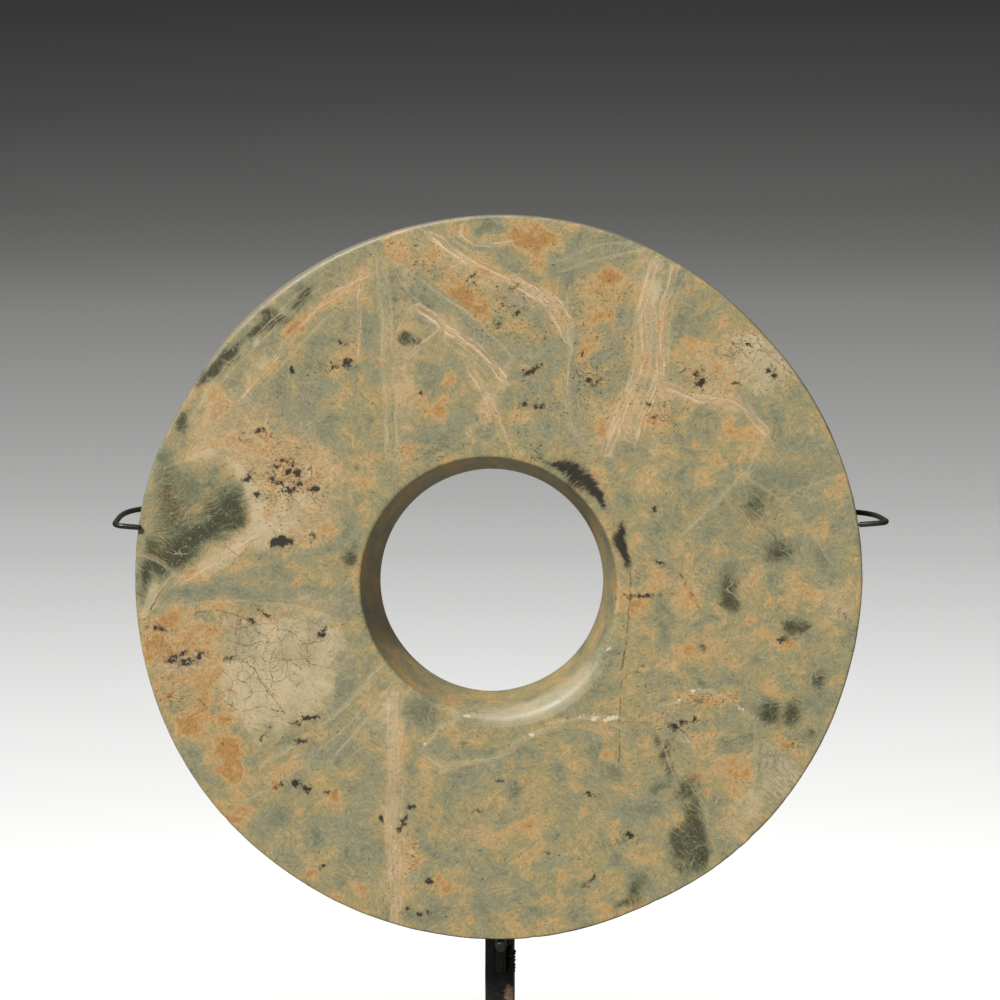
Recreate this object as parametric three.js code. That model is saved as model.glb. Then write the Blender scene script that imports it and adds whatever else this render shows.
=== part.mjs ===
// A pierced stone disc held upright on its metal display stand.
// The disc is one piece of mottled stone with a tapered bore set a little off its centre.
// The stand has a base plate, a square post, a bent rod that carries the disc's lowest edge,
// and two bent wires that run up behind the disc and hook round its rim.
// Millimetres, +Z up, the disc's front faces -Y. The origin is the middle of the base's underside.

import * as THREE from 'three';

// Base plate
const BASE_WIDTH = 200;
const BASE_DEPTH = 130;
const BASE_THICKNESS = 10;
const BASE_CORNER_RADIUS = 5;
const BASE_EDGE_BEVEL = 0.8;

// Stone disc
const DISC_RADIUS = 160.5;
const DISC_THICKNESS = 32;
const DISC_UNDERSIDE_HEIGHT = 75;
const RIM_CROWN = 0.5;
const RIM_FRONT_EDGE = 1.1;
const RIM_BACK_EDGE = 1.4;
const RIM_WORN_EDGE = 2.2;
const RIM_WORN_ANGLE = 128;
const RIM_WORN_SPREAD = 20;

// Bore through the disc, measured from the disc's centre
const BORE_OFFSET_X = -3.4;
const BORE_OFFSET_Z = -2.6;
const BORE_FRONT_RADIUS = 56.3;
const BORE_BACK_RADIUS = 50;
const BORE_FRONT_EDGE = 1.6;
const BORE_BACK_EDGE = 0.8;
const BORE_WORN_EDGE = 2.2;
const BORE_WORN_ANGLE = -62;
const BORE_WORN_SPREAD = 26;

// Flats and swellings of the hand-ground rim: degrees round the disc, degrees either side, depth
const RIM_SWELL_RIGHT = { angle: 6, spread: 16, rise: 0.7 };
const RIM_FLAT_UPPER_RIGHT = { angle: 43, spread: 11, rise: -0.7 };
const RIM_SWELL_TOP = { angle: 77, spread: 14, rise: 0.5 };
const RIM_FLAT_TOP = { angle: 104, spread: 9, rise: -0.4 };
const RIM_FLAT_UPPER_LEFT = { angle: 148, spread: 10, rise: -1.2 };
const RIM_SWELL_LOWER_LEFT = { angle: 214, spread: 17, rise: 0.9 };
const RIM_FLAT_LOWER_RIGHT = { angle: 295, spread: 12, rise: -1.2 };
const RIM_FORM = [
  RIM_SWELL_RIGHT,
  RIM_FLAT_UPPER_RIGHT,
  RIM_SWELL_TOP,
  RIM_FLAT_TOP,
  RIM_FLAT_UPPER_LEFT,
  RIM_SWELL_LOWER_LEFT,
  RIM_FLAT_LOWER_RIGHT,
];

// Post
const POST_WIDTH = 13;
const POST_CORNER_RADIUS = 0.8;
const POST_HEIGHT_BEHIND_DISC = 86;
const DISC_TO_POST_GAP = 1;

// Rod that carries the disc's lowest edge, welded to the front of the post
const ROD_DIAMETER = 4.8;
const ROD_BEND_LENGTH = 6;
const ROD_DROP = 18;
const ROD_OFFSET_X = 0.8;
const ROD_TIP_OFFSET_X = 1.4;
const ROD_TIP_OVERHANG = 1;

// Wire arms
const WIRE_DIAMETER = 2.4;
const WIRE_BEHIND_DISC_GAP = 0.6;
const ARM_WELD_LENGTH = 30;
const ARM_START_BELOW_POST_TOP = 6;
const ARM_FOOT_BEND_LENGTH = 14;
const ARM_SHOULDER_INSET = 20;
const ARM_SHOULDER_BEND_LENGTH = 15;
const HOOK_BACK_BEND_LENGTH = 7.5;
const HOOK_FRONT_BEND_LENGTH = 4;

// Each hook: heights above the disc's centre, reach past the rim and lap over the front face
const LEFT_HOOK_BACK_RISE = 29.4;
const LEFT_HOOK_FRONT_RISE = 23.8;
const LEFT_HOOK_BACK_REACH = 10.6;
const LEFT_HOOK_FRONT_REACH = 10.3;
const LEFT_HOOK_LAP = 2.2;
const RIGHT_HOOK_BACK_RISE = 28.6;
const RIGHT_HOOK_FRONT_RISE = 26.1;
const RIGHT_HOOK_BACK_REACH = 6.2;
const RIGHT_HOOK_FRONT_REACH = 12.6;
const RIGHT_HOOK_LAP = -0.8;

// Space left between pieces that touch
const TOUCH_GAP = 0.3;

// How finely the round shapes are faceted
const DISC_FACETS = 144;
const EDGE_FACETS = 4;
const ROD_SIDES = 12;
const WIRE_SIDES = 10;
const BEND_FACETS = 7;
const CORNER_FACETS = 4;

// Places that follow from the sizes
const FULL_TURN = 2 * Math.PI;
const DISC_HALF = DISC_THICKNESS / 2;
const DISC_CENTRE_Z = DISC_UNDERSIDE_HEIGHT + rimRadius(THREE.MathUtils.degToRad(-90));
const POST_FRONT_Y = DISC_HALF + DISC_TO_POST_GAP;
const POST_TOP_Z = DISC_UNDERSIDE_HEIGHT + POST_HEIGHT_BEHIND_DISC;

// Smooth swelling of height 1 at an angle, fading over the spread, both in degrees
function swell(angle, centreDegrees, spreadDegrees) {
  const degrees = THREE.MathUtils.radToDeg(angle) - centreDegrees;
  const wrapped = THREE.MathUtils.euclideanModulo(degrees + 180, 360) - 180;
  return Math.exp(-((wrapped / spreadDegrees) ** 2));
}

// Radius of the hand-ground rim at an angle round the disc
function rimRadius(angle) {
  const form = RIM_FORM.map((bump) => bump.rise * swell(angle, bump.angle, bump.spread));
  return form.reduce((sum, rise) => sum + rise, DISC_RADIUS);
}

// A rounded edge from the face to the side, as [inset from the side, inset from the face]
function quarterRound(size, facets) {
  const points = [];
  for (let i = 0; i <= facets; i += 1) {
    const turn = (i / facets) * (Math.PI / 2);
    points.push([size * (1 - Math.sin(turn)), size * (1 - Math.cos(turn))]);
  }
  return points;
}

// Section of the disc at an angle: a closed loop of points in the disc's own frame
function discSection(angle) {
  const outward = new THREE.Vector3(Math.cos(angle), 0, Math.sin(angle));
  const boreCentre = new THREE.Vector3(BORE_OFFSET_X, 0, BORE_OFFSET_Z);
  const fromRim = (inset, y) => outward.clone().multiplyScalar(rimRadius(angle) - inset).setY(y);
  const fromBore = (radius, y) => outward.clone().multiplyScalar(radius).add(boreCentre).setY(y);

  const rimFront = RIM_FRONT_EDGE + RIM_WORN_EDGE * swell(angle, RIM_WORN_ANGLE, RIM_WORN_SPREAD);
  const boreFront = BORE_FRONT_EDGE + BORE_WORN_EDGE * swell(angle, BORE_WORN_ANGLE, BORE_WORN_SPREAD);

  const front = quarterRound(rimFront, EDGE_FACETS)
    .map(([side, face]) => fromRim(RIM_CROWN + side, -DISC_HALF + face));
  const crown = [-DISC_HALF / 2, 0, DISC_HALF / 2]
    .map((y) => fromRim(RIM_CROWN * (y / DISC_HALF) ** 2, y));
  const back = quarterRound(RIM_BACK_EDGE, EDGE_FACETS - 1)
    .map(([side, face]) => fromRim(RIM_CROWN + side, DISC_HALF - face))
    .reverse();
  const boreBack = quarterRound(BORE_BACK_EDGE, EDGE_FACETS - 2)
    .map(([side, face]) => fromBore(BORE_BACK_RADIUS + side, DISC_HALF - face));
  const boreFrontRound = quarterRound(boreFront, EDGE_FACETS)
    .map(([side, face]) => fromBore(BORE_FRONT_RADIUS + side, -DISC_HALF + face))
    .reverse();
  return [...front, ...crown, ...back, ...boreBack, ...boreFrontRound];
}

// Joins closed sections, one after the other all the way round, into one closed skin
function skinOfSections(sections) {
  const count = sections[0].length;
  const positions = sections.flat().flatMap((point) => point.toArray());
  const index = [];
  for (let i = 0; i < sections.length; i += 1) {
    const next = (i + 1) % sections.length;
    for (let j = 0; j < count; j += 1) {
      const up = (j + 1) % count;
      const a = i * count + j;
      const b = i * count + up;
      const c = next * count + up;
      const d = next * count + j;
      index.push(a, c, d, a, b, c);
    }
  }
  const geometry = new THREE.BufferGeometry();
  geometry.setAttribute('position', new THREE.Float32BufferAttribute(positions, 3));
  geometry.setIndex(index);
  geometry.computeVertexNormals();
  return geometry;
}

// The stone disc
function discGeometry() {
  const sections = [];
  for (let i = 0; i < DISC_FACETS; i += 1) {
    sections.push(discSection((i / DISC_FACETS) * FULL_TURN));
  }
  return skinOfSections(sections);
}

// A rectangle with round corners, centred on the origin
function roundedRectangle(width, depth, radius) {
  const shape = new THREE.Shape();
  const x = width / 2 - radius;
  const y = depth / 2 - radius;
  shape.absarc(x, y, radius, 0, Math.PI / 2);
  shape.absarc(-x, y, radius, Math.PI / 2, Math.PI);
  shape.absarc(-x, -y, radius, Math.PI, 1.5 * Math.PI);
  shape.absarc(x, -y, radius, 1.5 * Math.PI, FULL_TURN);
  return shape;
}

// The base plate, with its upper and lower edges bevelled
function baseGeometry() {
  const inner = roundedRectangle(
    BASE_WIDTH - 2 * BASE_EDGE_BEVEL,
    BASE_DEPTH - 2 * BASE_EDGE_BEVEL,
    BASE_CORNER_RADIUS - BASE_EDGE_BEVEL,
  );
  const geometry = new THREE.ExtrudeGeometry(inner, {
    depth: BASE_THICKNESS - 2 * BASE_EDGE_BEVEL,
    bevelEnabled: true,
    bevelThickness: BASE_EDGE_BEVEL,
    bevelSize: BASE_EDGE_BEVEL,
    bevelSegments: 2,
    curveSegments: CORNER_FACETS,
  });
  return geometry.translate(0, 0, BASE_EDGE_BEVEL);
}

// The square post, from the base plate up behind the disc
function postGeometry() {
  const section = roundedRectangle(POST_WIDTH, POST_WIDTH, POST_CORNER_RADIUS);
  return new THREE.ExtrudeGeometry(section, {
    depth: POST_TOP_Z - BASE_THICKNESS,
    bevelEnabled: false,
    curveSegments: CORNER_FACETS,
  });
}

// A path of straight runs and round bends, with one facet of the bar from each point to the next
class BentPath extends THREE.Curve {
  // Each inner corner is rounded over its bend length on either side
  constructor(corners, bendLengths) {
    super();
    this.points = [corners[0]];
    bendLengths.forEach((reach, i) => {
      const corner = corners[i + 1];
      const before = corners[i].clone().sub(corner).setLength(reach).add(corner);
      const after = corners[i + 2].clone().sub(corner).setLength(reach).add(corner);
      const bend = new THREE.QuadraticBezierCurve3(before, corner, after);
      this.points.push(...bend.getPoints(BEND_FACETS));
    });
    this.points.push(corners[corners.length - 1]);
    this.runs = this.points.length - 1;
  }

  getPoint(t, target = new THREE.Vector3()) {
    const run = Math.min(Math.floor(t * this.runs), this.runs - 1);
    return target.lerpVectors(this.points[run], this.points[run + 1], t * this.runs - run);
  }

  // Steps fall on the points, however long the runs between them are
  getUtoTmapping(u) {
    return u;
  }
}

// Round bar of a diameter along a bent path
function barAlong(path, diameter, sides) {
  const section = new THREE.Shape();
  section.absarc(0, 0, diameter / 2, 0, FULL_TURN);
  return new THREE.ExtrudeGeometry(section, {
    steps: path.runs,
    extrudePath: path,
    curveSegments: sides / 2,
  });
}

// The bent rod: up the front of the post, then forward under the disc's lowest edge
function rodPath() {
  const radius = ROD_DIAMETER / 2;
  const y = POST_FRONT_Y - TOUCH_GAP - radius;
  const z = DISC_UNDERSIDE_HEIGHT - TOUCH_GAP - radius;
  const corners = [
    new THREE.Vector3(ROD_OFFSET_X, y, z - ROD_DROP),
    new THREE.Vector3(ROD_OFFSET_X, y, z),
    new THREE.Vector3(ROD_TIP_OFFSET_X, -DISC_HALF - ROD_TIP_OVERHANG, z),
  ];
  return new BentPath(corners, [ROD_BEND_LENGTH]);
}

// Distance of the rim from the disc's upright centre line, at a height above its centre
function rimAtRise(side, rise) {
  const angle = Math.asin(rise / DISC_RADIUS);
  const radius = rimRadius(side > 0 ? angle : Math.PI - angle);
  return Math.sqrt(radius ** 2 - rise ** 2);
}

// A wire arm: up the post's side, out behind the disc, and forward round the rim to its tip
function armPath(side, hook) {
  const radius = WIRE_DIAMETER / 2;
  const behindY = DISC_HALF + WIRE_BEHIND_DISC_GAP + radius;
  const frontY = -DISC_HALF - TOUCH_GAP - radius;
  const footX = POST_WIDTH / 2 + TOUCH_GAP + radius;
  const leaveZ = POST_TOP_Z - ARM_START_BELOW_POST_TOP;
  const backRim = rimAtRise(side, hook.backRise);
  const frontRim = rimAtRise(side, hook.frontRise);
  const backZ = DISC_CENTRE_Z + hook.backRise;
  const frontZ = DISC_CENTRE_Z + hook.frontRise;
  const corners = [
    new THREE.Vector3(side * footX, POST_FRONT_Y + radius, leaveZ - ARM_WELD_LENGTH),
    new THREE.Vector3(side * footX, POST_FRONT_Y + radius, leaveZ),
    new THREE.Vector3(side * (backRim - ARM_SHOULDER_INSET), behindY, backZ),
    new THREE.Vector3(side * (backRim + hook.backReach), behindY, backZ),
    new THREE.Vector3(side * (frontRim + hook.frontReach), frontY, frontZ),
    new THREE.Vector3(side * (frontRim - hook.lap), frontY, frontZ),
  ];
  const bends = [
    ARM_FOOT_BEND_LENGTH,
    ARM_SHOULDER_BEND_LENGTH,
    HOOK_BACK_BEND_LENGTH,
    HOOK_FRONT_BEND_LENGTH,
  ];
  return new BentPath(corners, bends);
}

// Finishes
function stoneFinish() {
  return new THREE.MeshStandardMaterial({ color: 0xa49470, roughness: 0.5, metalness: 0 });
}

function blackPaintFinish() {
  return new THREE.MeshStandardMaterial({ color: 0x161613, roughness: 0.45, metalness: 0.2 });
}

// A named piece with its geometry and finish
function piece(name, geometry, material) {
  const mesh = new THREE.Mesh(geometry, material);
  mesh.name = name;
  return mesh;
}

const disc = piece('bi_disc', discGeometry(), stoneFinish());
disc.position.set(0, 0, DISC_CENTRE_Z);

const base = piece('base_plate', baseGeometry(), blackPaintFinish());

const post = piece('post', postGeometry(), blackPaintFinish());
post.position.set(0, POST_FRONT_Y + POST_WIDTH / 2, BASE_THICKNESS);

const restRod = piece(
  'rest_rod',
  barAlong(rodPath(), ROD_DIAMETER, ROD_SIDES),
  blackPaintFinish(),
);

const leftHook = {
  backRise: LEFT_HOOK_BACK_RISE,
  frontRise: LEFT_HOOK_FRONT_RISE,
  backReach: LEFT_HOOK_BACK_REACH,
  frontReach: LEFT_HOOK_FRONT_REACH,
  lap: LEFT_HOOK_LAP,
};
const leftArm = piece(
  'left_arm',
  barAlong(armPath(-1, leftHook), WIRE_DIAMETER, WIRE_SIDES),
  blackPaintFinish(),
);

const rightHook = {
  backRise: RIGHT_HOOK_BACK_RISE,
  frontRise: RIGHT_HOOK_FRONT_RISE,
  backReach: RIGHT_HOOK_BACK_REACH,
  frontReach: RIGHT_HOOK_FRONT_REACH,
  lap: RIGHT_HOOK_LAP,
};
const rightArm = piece(
  'right_arm',
  barAlong(armPath(1, rightHook), WIRE_DIAMETER, WIRE_SIDES),
  blackPaintFinish(),
);

const stand = new THREE.Group();
stand.add(base, post, restRod, leftArm, rightArm);

const object = new THREE.Group();
object.add(disc, stand);

export default object;
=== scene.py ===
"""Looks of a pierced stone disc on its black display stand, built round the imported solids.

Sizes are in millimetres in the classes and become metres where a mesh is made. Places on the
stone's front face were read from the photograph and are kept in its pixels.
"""

import logging
import math
from dataclasses import dataclass
from enum import Enum
from itertools import product
from typing import Callable, Iterable, NamedTuple

import bmesh
import bpy
import numpy as np
from mathutils import Matrix, Vector


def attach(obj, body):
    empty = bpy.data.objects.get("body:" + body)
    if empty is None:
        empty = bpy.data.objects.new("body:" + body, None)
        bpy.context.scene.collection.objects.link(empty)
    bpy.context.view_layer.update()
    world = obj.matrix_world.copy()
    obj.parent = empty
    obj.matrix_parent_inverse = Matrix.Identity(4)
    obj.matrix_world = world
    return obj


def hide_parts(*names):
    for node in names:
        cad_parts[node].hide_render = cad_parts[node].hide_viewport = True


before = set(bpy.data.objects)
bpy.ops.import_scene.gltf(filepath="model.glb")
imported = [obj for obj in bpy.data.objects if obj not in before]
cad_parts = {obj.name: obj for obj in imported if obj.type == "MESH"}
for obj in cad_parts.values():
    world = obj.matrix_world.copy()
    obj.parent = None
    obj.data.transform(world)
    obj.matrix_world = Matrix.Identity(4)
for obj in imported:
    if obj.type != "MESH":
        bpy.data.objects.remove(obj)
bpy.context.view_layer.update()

log = logging.getLogger("disc_on_stand")

MM = 0.001
FULL_TURN = 2 * math.pi
Colour = tuple[float, float, float, float]
Socket = bpy.types.NodeSocket
Rows = dict[str, tuple[tuple[float, ...], ...]]
Outline = list[tuple[float, float]]


def tone(red: int, green: int, blue: int) -> Colour:
    """A paint-chart colour, 0 to 255 for each part, as the linear colour that shaders take."""
    parts = [value / 255 for value in (red, green, blue)]
    linear = [v / 12.92 if v <= 0.04045 else ((v + 0.055) / 1.055) ** 2.4 for v in parts]
    return (*linear, 1.0)


class Mark(NamedTuple):
    """A patch on the front face: an ellipse in the photograph's pixels, turned by degrees."""

    px: float
    py: float
    half_length: float
    half_width: float
    strength: float
    turn: float = 0.0


class Mineral(Enum):
    """The stone's minerals, each a field of its own on the disc's mesh."""

    GREEN = "green"
    ORANGE = "orange"
    CREAM = "cream"
    GREY = "grey"
    CRACKED = "cracked"
    SPECKLED = "speckled"
    SMOKE = "smoke"
    LILAC = "lilac"
    PEACH = "peach"


Shares = dict[Mineral, Socket]


class Seam(Enum):
    """The kinds of line that cross the stone, each a field of its own on the disc's mesh."""

    PINK = "pink_seam"
    PALE = "pale_seam"
    CRACK = "crack_seam"


MARKS: dict[Mineral, Rows] = {
    Mineral.GREEN: {
        "big hairy patch at the left": (
            (231, 508, 16, 23, 1, 12), (207, 529, 28, 11, 1, 34), (178, 553, 24, 13, 1, 32),
            (163, 565, 11, 9, 0.85), (196, 478, 30, 20, 0.38), (168, 520, 18, 30, 0.6),
            (190, 506, 26, 22, 0.35), (150, 552, 7, 16, 0.7), (165, 474, 12, 22, 0.45, -10),
        ),
        "streaks along the upper left rim": (
            (255, 334, 9, 5, 1, 25), (272, 322, 14, 8, 1, 25), (268, 309, 5, 9, 0.9, 80),
            (286, 318, 9, 5, 0.7, 20), (299, 303, 8, 5, 0.9, 40), (306, 292, 8, 9, 0.9, 60),
            (313, 286, 7, 3, 0.6, 10), (204, 377, 12, 6, 0.9, 48), (217, 367, 11, 6, 1, 40),
            (231, 355, 8, 9, 1, 60), (239, 346, 8, 4, 0.7, 38), (182, 420, 7, 13, 0.9, -25),
        ),
        "rim patch low on the left": ((144, 574, 5, 13, 0.9), (141, 590, 4, 12, 0.5)),
        "small spots between rim and bore": (
            (407, 338, 6, 7, 1), (417, 341, 9, 5, 0.6), (349, 560, 8, 10, 0.9, 10), (356, 470, 5, 7, 0.5),
            (358, 500, 5, 9, 0.45), (355, 545, 6, 8, 0.5), (345, 363, 6, 6, 0.6),
            (372, 424, 6, 4, 0.55, 30),
        ),
        "felted right half": (
            (778, 550, 14, 10, 0.75, 10), (820, 556, 8, 10, 0.5), (726, 583, 8, 14, 0.7, -10),
            (731, 602, 11, 7, 0.85, -20), (791, 627, 7, 9, 1, 10), (805, 628, 6, 5, 0.8, 30),
            (782, 640, 5, 3, 0.9), (666, 638, 6, 12, 0.5, 5), (703, 646, 7, 6, 0.6), (819, 678, 8, 8, 0.55),
            (770, 606, 3, 6, 0.4), (781, 593, 5, 5, 0.5), (762, 492, 30, 18, 0.3), (751, 509, 8, 10, 0.45),
            (745, 505, 44, 26, 0.25, 30), (776, 540, 40, 24, 0.3), (812, 470, 24, 22, 0.3),
            (728, 588, 14, 22, 0.4, -10), (795, 625, 16, 16, 0.4), (815, 680, 16, 24, 0.35),
            (780, 714, 20, 16, 0.45),
        ),
        "long streak at the lower right": (
            (657, 742, 4, 10, 0.7, -5), (666, 752, 6, 12, 0.85, -15), (672, 768, 6, 10, 0.7, -25),
            (686, 788, 10, 17, 0.8, -32), (696, 808, 9, 18, 0.75, -18), (698, 830, 11, 16, 0.85, -5),
            (678, 842, 10, 14, 0.7), (690, 850, 16, 16, 0.5), (703, 856, 8, 16, 0.95, -8),
            (686, 868, 14, 10, 0.5),
        ),
        "spots near the lower right rim": (
            (768, 716, 9, 10, 0.9, 40), (772, 706, 10, 7, 0.7), (795, 712, 7, 13, 0.85),
            (811, 734, 6, 4, 0.7, -30), (699, 698, 6, 3, 0.8, -10), (636, 889, 10, 13, 0.8),
            (623, 906, 11, 5, 0.8, 20), (646, 880, 7, 6, 0.4),
        ),
        "below the bore": (
            (417, 716, 22, 10, 0.55, -10), (430, 706, 14, 7, 0.5, -10), (463, 741, 5, 3, 0.5),
            (475, 750, 26, 4, 0.4, -8),
        ),
    },
    Mineral.ORANGE: {
        "top left": (
            (430, 262, 48, 20, 0.4, -22), (478, 300, 34, 16, 0.45, -30), (440, 395, 30, 26, 0.25),
            (398, 243, 11, 11, 1), (409, 260, 10, 8, 0.8, -10), (432, 256, 9, 5, 0.7),
            (428, 273, 12, 6, 0.6), (452, 288, 11, 8, 0.95, -20), (463, 302, 9, 6, 0.9, -40),
            (481, 320, 11, 8, 0.85, -20), (486, 271, 12, 4, 0.7, -25), (519, 328, 13, 6, 0.7),
            (497, 333, 9, 5, 0.6), (447, 380, 6, 6, 0.65), (428, 406, 15, 6, 0.55, 5),
            (420, 447, 16, 4, 0.6), (452, 448, 16, 4, 0.4),
        ),
        "top middle": (
            (525, 230, 17, 8, 0.95, -5), (533, 250, 14, 14, 1, -30), (540, 266, 9, 12, 0.9, -10),
            (505, 243, 14, 5, 0.8, -15), (486, 238, 6, 4, 0.5), (466, 230, 3, 8, 0.7, 30),
            (553, 240, 8, 8, 0.4),
        ),
        "top right": (
            (606, 300, 40, 34, 0.4), (600, 400, 30, 44, 0.35), (530, 240, 40, 18, 0.4, -10),
            (588, 285, 16, 10, 0.75, 10), (602, 310, 20, 12, 0.55, 40), (583, 322, 9, 16, 0.6),
            (622, 290, 18, 10, 0.75), (640, 308, 8, 6, 0.7), (620, 345, 8, 6, 0.4), (593, 372, 10, 9, 0.45),
            (604, 433, 9, 12, 0.4), (616, 399, 12, 9, 0.4),
        ),
        "right of the pale band": (
            (700, 360, 44, 36, 0.4), (690, 420, 44, 20, 0.35, -10), (800, 600, 44, 20, 0.35, 10),
            (681, 351, 9, 11, 0.95), (692, 372, 8, 5, 0.85), (700, 352, 14, 12, 0.45),
            (650, 419, 11, 8, 0.85, 30), (727, 427, 7, 9, 0.9), (739, 398, 6, 5, 0.6, 20),
            (696, 446, 5, 4, 0.8), (721, 462, 7, 8, 0.75), (692, 291, 18, 8, 0.5, 20),
            (817, 412, 4, 3, 0.7), (660, 392, 9, 4, 0.4), (700, 423, 9, 5, 0.4),
        ),
        "slanting band from the upper left": (
            (272, 345, 6, 3, 0.5, 35), (288, 336, 12, 4, 0.7, 42), (302, 325, 13, 6, 1, 42),
            (316, 311, 13, 5, 1, 42), (334, 296, 14, 6, 0.95, 38), (352, 286, 12, 5, 0.9, 30),
            (329, 280, 7, 3, 0.8, 10), (368, 297, 6, 7, 0.7), (372, 278, 6, 5, 0.5),
            (246, 312, 4, 11, 0.45, -38), (230, 338, 4, 11, 0.45, -38), (209, 362, 3, 8, 0.4, -40),
        ),
        "above the hairy patch": (
            (290, 452, 46, 22, 0.3), (305, 495, 38, 44, 0.45), (225, 406, 9, 7, 0.7, 10),
            (206, 440, 12, 7, 0.4, 25), (232, 438, 12, 5, 0.6), (279, 362, 9, 6, 0.75, 35),
            (268, 374, 8, 4, 0.5, 35), (276, 437, 15, 6, 0.45), (266, 449, 18, 5, 0.4),
            (310, 458, 7, 5, 0.6), (369, 357, 8, 4, 0.7), (362, 377, 4, 6, 0.85), (302, 446, 8, 4, 0.4),
            (199, 478, 7, 2, 0.4), (194, 506, 4, 4, 0.5),
        ),
        "round the hairy patch": (
            (229, 552, 14, 6, 0.85, 42), (214, 562, 8, 4, 0.5, 20), (199, 571, 13, 6, 0.9, 25),
            (185, 577, 7, 4, 0.7, 20), (248, 583, 7, 3, 0.6), (289, 585, 13, 3, 0.95, 3),
            (266, 541, 4, 5, 0.7), (326, 529, 9, 6, 0.6), (329, 560, 8, 5, 0.5), (310, 535, 10, 6, 0.4),
            (155, 585, 5, 12, 0.5, -25),
        ),
        "lower left field": (
            (180, 640, 42, 34, 0.45), (190, 692, 42, 40, 0.5), (222, 746, 34, 26, 0.5, -25),
            (250, 618, 34, 7, 0.45), (316, 640, 24, 36, 0.3), (149, 628, 9, 11, 1), (155, 644, 9, 10, 0.95),
            (168, 620, 13, 7, 0.8), (190, 630, 20, 9, 0.7), (216, 606, 17, 5, 0.8, 5),
            (236, 608, 10, 4, 0.6, -5), (216, 631, 6, 5, 1, 20), (151, 666, 7, 8, 0.95),
            (160, 684, 8, 9, 0.7), (193, 684, 15, 9, 0.7), (210, 660, 12, 12, 0.5), (190, 700, 12, 8, 0.7),
            (172, 655, 10, 8, 0.5), (336, 645, 6, 7, 0.5), (205, 703, 9, 6, 0.75), (211, 723, 12, 6, 0.8),
            (188, 726, 9, 7, 0.9), (228, 716, 10, 6, 0.6, 20), (228, 748, 15, 9, 0.85),
            (212, 755, 10, 7, 0.8), (226, 775, 6, 4, 1), (226, 774, 11, 7, 0.8), (242, 770, 8, 4, 0.5),
            (248, 752, 9, 8, 0.5), (319, 723, 5, 4, 0.55),
        ),
        "lower left rim": (
            (224, 805, 11, 7, 0.7, -20), (243, 809, 14, 7, 0.6), (230, 818, 11, 5, 0.7, -30),
            (299, 814, 8, 4, 0.8, 35), (287, 808, 7, 3, 0.5), (336, 797, 4, 6, 0.75),
            (346, 816, 4, 4, 0.65), (277, 788, 6, 5, 0.8), (278, 838, 6, 4, 0.55),
            (352, 858, 8, 8, 0.55, 20), (308, 877, 8, 3, 0.6, 20), (292, 868, 7, 3, 0.4),
            (409, 850, 7, 6, 1), (421, 862, 9, 5, 0.8), (396, 914, 5, 4, 0.8), (403, 888, 4, 6, 0.6),
            (412, 870, 6, 5, 0.5), (392, 831, 4, 4, 0.5),
        ),
        "below the bore": (
            (502, 804, 20, 7, 0.65, -5), (519, 778, 10, 8, 0.65), (494, 780, 9, 6, 0.5, 30),
            (584, 809, 8, 9, 0.55), (622, 789, 11, 3, 0.8), (607, 756, 9, 9, 0.55), (625, 768, 10, 5, 0.45),
            (645, 744, 8, 6, 0.8), (571, 842, 18, 6, 0.5), (616, 838, 6, 9, 0.65),
            (458, 888, 16, 7, 0.6, -10), (440, 878, 8, 5, 0.4), (562, 882, 18, 7, 0.65, 10),
            (541, 902, 16, 4, 0.6, 10), (549, 922, 17, 5, 0.65, 5), (469, 920, 5, 4, 0.7),
            (526, 707, 9, 3, 0.6, 10), (508, 733, 26, 6, 0.4, 5), (524, 757, 5, 8, 0.5),
            (446, 776, 5, 7, 0.6, 20), (445, 813, 8, 5, 0.4), (601, 705, 10, 5, 0.6),
        ),
        "lower right": (
            (708, 697, 32, 6, 0.8, -3), (792, 741, 22, 5, 0.6, -8), (730, 760, 40, 44, 0.3),
            (704, 732, 16, 5, 0.8, 5), (750, 773, 5, 5, 0.75), (700, 775, 9, 2, 0.4),
            (725, 787, 24, 14, 0.45), (728, 815, 13, 13, 0.4), (723, 853, 4, 3, 0.7), (614, 829, 6, 9, 0.6),
            (661, 854, 6, 4, 0.6), (671, 873, 4, 9, 0.6), (661, 770, 5, 4, 0.4, 20), (770, 690, 6, 7, 0.9),
            (700, 740, 8, 3, 0.4), (664, 712, 8, 4, 0.5),
        ),
        "right": (
            (652, 569, 15, 10, 0.6), (645, 590, 10, 7, 0.4), (678, 573, 6, 3, 0.8, -50),
            (687, 586, 7, 3, 0.85, -58), (697, 601, 8, 3, 0.85, -50), (697, 618, 10, 4, 0.75),
            (751, 619, 7, 6, 0.95), (724, 622, 3, 5, 0.8), (763, 632, 4, 7, 0.85),
            (795, 597, 13, 6, 0.8, 5), (807, 607, 9, 7, 0.75), (791, 645, 5, 5, 0.8, 20),
            (770, 602, 3, 8, 0.7), (822, 600, 9, 6, 0.45), (641, 669, 7, 5, 0.6), (772, 681, 7, 7, 0.6),
            (741, 557, 5, 6, 0.6), (822, 653, 8, 2, 0.5), (676, 473, 5, 7, 0.8), (696, 484, 5, 5, 0.6),
            (645, 605, 8, 6, 0.6), (652, 517, 5, 4, 0.5), (829, 493, 5, 4, 0.5), (840, 478, 6, 8, 0.4),
        ),
    },
    Mineral.CREAM: {
        "cracked field at the lower left": (
            (278, 664, 50, 38, 0.9), (296, 636, 40, 20, 0.6), (264, 696, 40, 24, 0.75),
            (302, 696, 24, 24, 0.55), (326, 640, 14, 24, 0.35), (268, 734, 26, 14, 0.5, 20),
        ),
        "speckled field at the left": (
            (293, 500, 34, 34, 0.4), (275, 520, 28, 12, 0.35, 20), (320, 470, 14, 24, 0.3),
        ),
        "border of the hairy patch": (
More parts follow.
